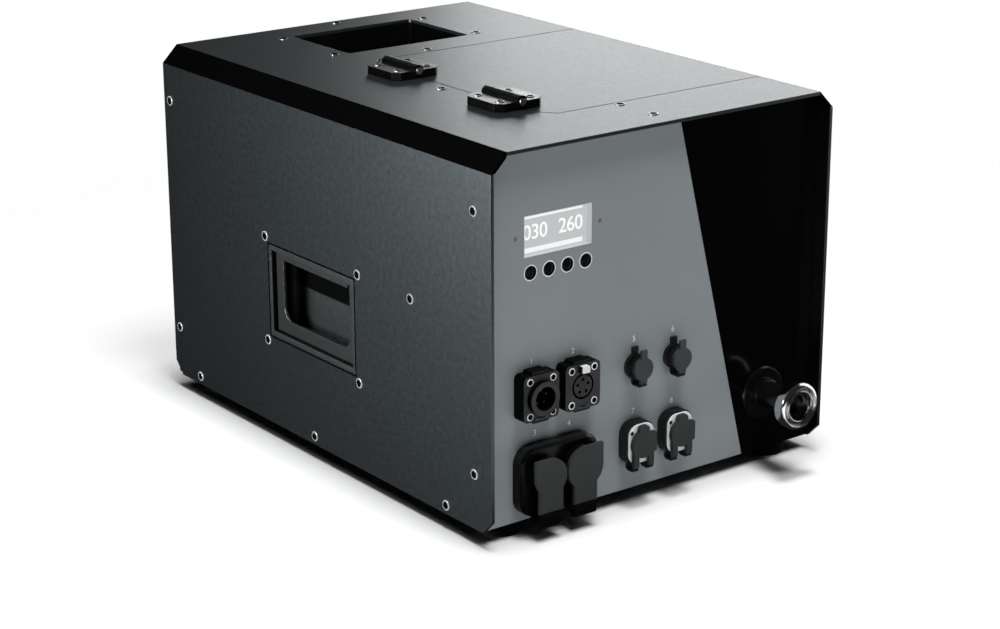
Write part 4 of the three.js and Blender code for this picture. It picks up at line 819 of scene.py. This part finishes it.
def numerals(name, text, size, matrix, material, body, spacing=1.0, bold=0.0):
    """Plain numerals as thin raised print, centred on the frame's origin."""
    curve = bpy.data.curves.new(name + "_text", "FONT")
    curve.body = text
    curve.size = size
    curve.align_x = "CENTER"
    curve.align_y = "CENTER"
    curve.space_character = spacing
    curve.extrude = SKIN / 4
    curve.offset = bold
    shaped = bpy.data.objects.new(name + "_text", curve)
    bpy.context.collection.objects.link(shaped)
    bpy.context.view_layer.update()
    mesh = bpy.data.meshes.new_from_object(shaped.evaluated_get(bpy.context.evaluated_depsgraph_get()))
    bpy.data.objects.remove(shaped)
    mesh.transform(matrix)
    mesh.materials.clear()
    mesh.materials.append(material)
    made = bpy.data.objects.new(name, mesh)
    bpy.context.collection.objects.link(made)
    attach(made, body)


digit_glow = glow("digit_glow", (1.0, 1.0, 1.0), 1.0)
bezel = bmesh.new()
bezel_frame = front_frame(window.x, window.z)
for across, tall, u, v in ((BEZEL_THICK, WINDOW_TALL, 0.5, 0), (BEZEL_THICK, WINDOW_TALL, -0.5, 0),
                           (WINDOW_ACROSS, BEZEL_THICK, 0, 0.5), (WINDOW_ACROSS, BEZEL_THICK, 0, -0.5)):
    centre = (u * (WINDOW_ACROSS - BEZEL_THICK), v * (WINDOW_TALL - BEZEL_THICK))
    outline = rounded(across, tall, BEZEL_THICK * 0.2, 1, centre)
    prism(bezel, outline, bezel_frame, PANEL_Y - window_high.y, 0)
# The bezel's glow is painted light: it stands in for the screen's light on its edges
bezel_painted_glow = glow("bezel_painted_screen_light", (0.60, 0.62, 0.63), 0.42, base=0.4)
piece("display_bezel", bezel, [bezel_painted_glow], FIXED, smooth=False)

for name, text, share in DIGITS:
    place = front_frame(window.x + WINDOW_ACROSS * share, window.z + WINDOW_TALL * DIGIT_RISE,
                        screen_back - SCREEN_THICK - DIGIT_OUT)
    numerals(name, text, WINDOW_TALL * DIGIT_SHARE, place, digit_glow, FIXED, DIGIT_SPACING, DIGIT_BOLD)


# White rings round the buttons as a painted reflection of chrome, black sleeves on the walls of their holes
# as painted shade, and the status lights beside the display

BUTTON_HOLE = 0.00465
RING_START = 0.0002
RING_END = 0.00095
RING_HIGH = 0.0003
HOLE_SHADE_DEEP = 0.0018
HOLE_SHADE_LIP = 0.0003
HOLE_SHADE_PROFILE = [(BUTTON_HOLE - SKIN, -HOLE_SHADE_DEEP), (BUTTON_HOLE - SKIN, SKIN),
                 (BUTTON_HOLE + HOLE_SHADE_LIP, SKIN), (BUTTON_HOLE + HOLE_SHADE_LIP, 0)]
LENS_X = (-0.1212, -0.05055)
LENS_HIGH = 0.1982
LENS_DOME = [(0, 0.0005), (0.0007, 0.00042), (0.0012, 0.0001), (0.00135, -0.0006)]


def ring(bm, matrix, inner, outer, height, sides):
    profile = [(inner, 0), (inner, height * 0.7), (inner + height * 0.3, height),
               (outer - height * 0.5, height), (outer, height * 0.4), (outer, 0)]
    lathe(bm, profile, matrix, sides)


rings = bmesh.new()
hole_shades = bmesh.new()
for i in range(1, 5):
    button = middle(f"button_{i}")
    place = front_frame(button.x, button.z)
    ring(rings, place, BUTTON_HOLE + RING_START, BUTTON_HOLE + RING_END, RING_HIGH, ROUND)
    lathe(hole_shades, HOLE_SHADE_PROFILE, place, ROUND)
piece("button_rings", rings, [plate_white], FIXED)
piece("button_hole_shade", hole_shades, [gloss_black], FIXED)

led_look = plastic("status_lens", (0.30, 0.15, 0.165), 0.25, grain=900, strength=0.05, Coat_Weight=0.4)
lenses = bmesh.new()
for x in LENS_X:
    lathe(lenses, LENS_DOME, front_frame(x, BASE_Z + LENS_HIGH), SMALL_ROUND)
piece("status_lenses", lenses, [led_look], FIXED)


# Data sockets: screws, the lip with its slot, and the inlet's pins

DATA_FACE = 0.011
DATA_SCREW_ACROSS = 0.0096
DATA_SCREW_TALL = 0.01205
LIP_ACROSS = 0.0105
LIP_TALL = 0.0022
LIP_CORNER = 0.0005
LIP_DOWN = 0.0146
LIP_HIGH = 0.0005
SLOT_ACROSS = 0.0052
SLOT_TALL = 0.0008
SLOT_DOWN = 0.0142
SLOT_HIGH = 0.00006
PIN_CIRCLE = 0.0047
PIN_OPEN = 0.2
PIN_OUT = 0.0095
PIN_SIDES = 12
PIN_PROFILE = [(0, 0.0010), (0.0007, 0.0008), (0.00108, 0), (0.00108, -0.0088)]

data_screws = bmesh.new()
lips = bmesh.new()
data_face = PANEL_Y - DATA_FACE
for node in ("data_in_socket", "data_out_socket"):
    centre = middle(node)
    place = front_frame(centre.x, centre.z, data_face)
    for u, v in mirrored_pairs((centre.x, centre.z), DATA_SCREW_ACROSS, DATA_SCREW_TALL):
        screw_head(data_screws, front_frame(u, v, data_face), SMALL_SCREW, SMALL_HEAD)
    lip = rounded(LIP_ACROSS, LIP_TALL, LIP_CORNER, 2, (0, -LIP_DOWN))
    slot = rounded(SLOT_ACROSS, SLOT_TALL, FINE_CORNER, 1, (0, -SLOT_DOWN))
    prism(lips, lip, place, 0, LIP_HIGH, FINE_CORNER)
    prism(lips, slot, place, LIP_HIGH, LIP_HIGH + SLOT_HIGH, 0, 1)
piece("data_socket_screws", data_screws, [bright_ring, dark_hole, dark_hole], FIXED)
piece("data_socket_lips", lips, [data_plastic, dark_hole], FIXED)

pins = bmesh.new()
inlet = middle("data_in_socket")
for i in range(5):
    angle = -math.pi / 2 + math.pi * PIN_OPEN + 2 * math.pi * (1 - PIN_OPEN) / 4 * i
    x = inlet.x + PIN_CIRCLE * math.cos(angle)
    z = inlet.z + PIN_CIRCLE * math.sin(angle)
    lathe(pins, PIN_PROFILE, front_frame(x, z, PANEL_Y - PIN_OUT), PIN_SIDES)
piece("data_inlet_pins", pins, [pin_metal], FIXED)


# Mains housing: four screws

MAINS_FACE = 0.010
MAINS_HIGH = 0.0295
MAINS_SCREW = 0.0022
MAINS_SCREW_ACROSS = 0.0262
MAINS_SCREW_TALL = 0.0175
mains_centre = (middle("mains_socket").x, BASE_Z + MAINS_HIGH)
mains_spots = mirrored_pairs(mains_centre, MAINS_SCREW_ACROSS, MAINS_SCREW_TALL)
mains_places = [(u, PANEL_Y - MAINS_FACE, v) for u, v in mains_spots]
screws("mains_screws", mains_places, (0, -1, 0), FIXED, MAINS_SCREW, black_ring)


# Arming sockets: a bright face plate, white as a painted reflection of its metal, with two screws behind
# each cover

ARM_HIGH = 0.0355
ARM_FACE_OUT = 0.0083
ARM_FACE_ACROSS = 0.0228
ARM_FACE_TALL = 0.0285
ARM_FACE_CORNER = 0.0082
ARM_FACE_THICK = 0.0011
ARM_FACE_EDGE = 0.0004
ARM_SCREW = 0.0019
ARM_SCREW_ACROSS = 0.0092
ARM_SCREW_TALL = 0.0092
arm_face = PANEL_Y - ARM_FACE_OUT
for name in ("arm_in", "arm_out"):
    x = middle(f"{name}_cover").x
    z = BASE_Z + ARM_HIGH
    plate = bmesh.new()
    outline = rounded(ARM_FACE_ACROSS, ARM_FACE_TALL, ARM_FACE_CORNER, 8)
    prism(plate, outline, front_frame(x, z, arm_face), 0, ARM_FACE_THICK, ARM_FACE_EDGE)
    piece(f"{name}_face_plate", plate, [plate_white], FIXED)
    spots = mirrored_pairs((x, z), ARM_SCREW_ACROSS, ARM_SCREW_TALL)[1:3]
    places = [(u, arm_face - ARM_FACE_THICK, v) for u, v in spots]
    screws(f"{name}_screws", places, (0, -1, 0), FIXED, ARM_SCREW)


# Plain numerals above the sockets, as small white print on the panel

NUMERAL = 0.0058
NUMERAL_PLACES = (
    ("1", -0.1081, 0.1115), ("2", -0.0730, 0.1115), ("3", -0.1052, 0.0605), ("4", -0.0760, 0.0605),
    ("5", -0.0195, 0.1090), ("6", 0.0155, 0.1090), ("7", -0.0195, 0.0565), ("8", 0.0155, 0.0565))
for text, x, z in NUMERAL_PLACES:
    place = front_frame(x, BASE_Z + z, PANEL_Y - SKIN / 4)
    numerals(f"port_numeral_{text}", text, NUMERAL, place, print_white, FIXED)


# Hose clamps: a band with a screw block

CLAMP_BORE = 0.0061
CLAMP_RADIUS = 0.0069
CLAMP_WIDE = 0.007
BLOCK_ACROSS = 0.006
BLOCK_CORNER = 0.001
BLOCK_RISE = 0.0015
BLOCK_HALF = 0.002
BLOCK_EDGE = 0.0004
FILL_END = 0.006
FILL_LOW = 0.0436
FILL_HIGH = 0.1328


def clamp(bm, place, along):
    matrix = facing(along, place)
    half = CLAMP_WIDE / 2
    band = [(CLAMP_BORE, -half), (CLAMP_RADIUS, -half), (CLAMP_RADIUS, half), (CLAMP_BORE, half),
            (CLAMP_BORE, -half)]
    lathe(bm, band, matrix)
    top = Matrix.Translation((0, CLAMP_RADIUS + BLOCK_RISE, 0)) @ Matrix.Rotation(math.pi / 2, 4, "X")
    outline = rounded(BLOCK_ACROSS, CLAMP_WIDE, BLOCK_CORNER, 2)
    prism(bm, outline, matrix @ top, -BLOCK_HALF, BLOCK_HALF, BLOCK_EDGE)


clamps = bmesh.new()
fill_low, fill_high = box_of("fill_hose")
fill_x = (fill_low.x + fill_high.x) / 2
clamp(clamps, middle("suction_hose"), (0, 1, 0))
clamp(clamps, (fill_x, fill_low.y + FILL_END, BASE_Z + FILL_LOW), (0, 1, 0))
clamp(clamps, (fill_x, fill_high.y - FILL_END, BASE_Z + FILL_HIGH), (0, 1, 0))
piece("hose_clamps", clamps, [steel], FIXED)


# Floor: pale and matt, and plain white to the camera further away

FLOOR_HALF = 6.0
FLOOR_NEAR = 0.35
FLOOR_FAR = 1.0
floor_bm = bmesh.new()
for sx, sy in ((-1, -1), (1, -1), (1, 1), (-1, 1)):
    floor_bm.verts.new((sx * FLOOR_HALF, sy * FLOOR_HALF, 0))
floor_bm.faces.new(floor_bm.verts)
floor_mesh = bpy.data.meshes.new("floor")
floor_bm.to_mesh(floor_mesh)
floor_bm.free()
floor_look = Look("floor_paint", FLOOR_WHITE, 0.9, Specular_IOR_Level=0.0)
floor_look.mottle(scale=3, low=0.995, high=1.0).done()
far = floor_look.add("ShaderNodeVectorMath", operation="LENGTH")
floor_look.link(floor_look.place, far.inputs[0])
away = floor_look.spread(far.outputs["Value"], FLOOR_NEAR, FLOOR_FAR)
seen = floor_look.add("ShaderNodeLightPath").outputs["Is Camera Ray"]
floor_mix = floor_look.add("ShaderNodeMixShader")
floor_look.link(floor_look.maths("MULTIPLY", away, seen, clamp=True), floor_mix.inputs[0])
floor_look.link(floor_look.shader.outputs[0], floor_mix.inputs[1])
floor_look.link(floor_look.add("ShaderNodeEmission").outputs[0], floor_mix.inputs[2])
floor_look.link(floor_mix.outputs[0], floor_look.tree.nodes["Material Output"].inputs["Surface"])
floor_mesh.materials.append(floor_look.material)
floor = bpy.data.objects.new("floor", floor_mesh)
bpy.context.collection.objects.link(floor)
floor.visible_glossy = False


# Light: two lamps for the surfaces, cards that only the gloss sees, and the world

CENTRE = (0, 0, 0.13)
# Name, place, aim, size, power
LAMPS = (
    ("overhead", (-0.1, -0.45, 8.0), CENTRE, (1.8, 1.8), 455),
    ("front_fill", (-0.2, -1.25, 3.0), CENTRE, (0.9, 0.9), 40))
CARDS = (
    ("chrome_card", (0.46, -0.22, 0.18), (0.118, -0.22, 0.055), (0.5, 0.5), 0.9),
    ("front_card", (-0.13, -0.54, 0.001), (-0.13, -0.54, 1.0), (0.54, 0.52), 1.05),
    ("right_card", (0.37, 0.0, 0.001), (0.37, 0.0, 1.0), (0.42, 0.38), 0.62),
    ("roof_card", (1.565, 1.33, 0.82), (0.08, 0.0, 0.27), (1.1, 0.7), 9.2),
    ("side_card", (-0.75, -0.02, 0.34), (-0.15, -0.1, 0.13), (0.25, 0.25), 22))
WORLD_STEEP = (0.78, 0.97)
WORLD_DIFFUSE = 0.9
WORLD_GLOSSY = 0.015


def area_light(name, place, aim, size, power, is_card):
    light = bpy.data.lights.new(name, "AREA")
    light.shape = "RECTANGLE"
    light.size, light.size_y = size
    light.energy = power
    made = bpy.data.objects.new(name, light)
    made.location = place
    made.rotation_mode = "QUATERNION"
    made.rotation_quaternion = (Vector(aim) - Vector(place)).to_track_quat("-Z", "Y")
    bpy.context.collection.objects.link(made)
    made.visible_camera = False
    made.visible_glossy = is_card
    made.visible_diffuse = not is_card


for row in LAMPS:
    area_light(*row, is_card=False)
for row in CARDS:
    area_light(*row, is_card=True)

world = bpy.data.worlds.new("studio")
world.use_nodes = True
bpy.context.scene.world = world
tree = world.node_tree
background = tree.nodes["Background"]
rays = tree.nodes.new("ShaderNodeLightPath")


def changed_for(base, ray, value):
    """The background's strength, changed to a value for one kind of ray."""
    mix = tree.nodes.new("ShaderNodeMix")
    tree.links.new(rays.outputs[ray], mix.inputs["Factor"])
    tree.links.new(base, mix.inputs["A"])
    mix.inputs["B"].default_value = value
    return mix.outputs[0]


direction = tree.nodes.new("ShaderNodeSeparateXYZ")
tree.links.new(tree.nodes.new("ShaderNodeTexCoord").outputs["Generated"], direction.inputs[0])
from_above = tree.nodes.new("ShaderNodeMapRange")
tree.links.new(direction.outputs["Z"], from_above.inputs["Value"])
for socket, value in zip(("From Min", "From Max", "To Min", "To Max"), (*WORLD_STEEP, 0.0, WORLD_DIFFUSE)):
    from_above.inputs[socket].default_value = value
strength = changed_for(from_above.outputs[0], "Is Glossy Ray", WORLD_GLOSSY)
tree.links.new(changed_for(strength, "Is Camera Ray", 1.0), background.inputs["Strength"])
background.inputs["Color"].default_value = (1, 1, 1, 1)


# Camera

camera_data = bpy.data.cameras.new("camera")
camera_data.sensor_width = SENSOR_MM
camera_data.lens = FOCAL_PIXELS / IMAGE_WIDTH * SENSOR_MM
camera_data.clip_start = CAMERA_NEAR
camera = bpy.data.objects.new("camera", camera_data)
bpy.context.collection.objects.link(camera)
camera.location = CAMERA_PLACE
camera.rotation_mode = "QUATERNION"
roll = Quaternion((0, 0, 1), CAMERA_ROLL)
camera.rotation_quaternion = Vector(CAMERA_LOOK).to_track_quat("-Z", "Y") @ roll
bpy.context.scene.camera = camera
bpy.context.scene.view_settings.view_transform = "Standard"
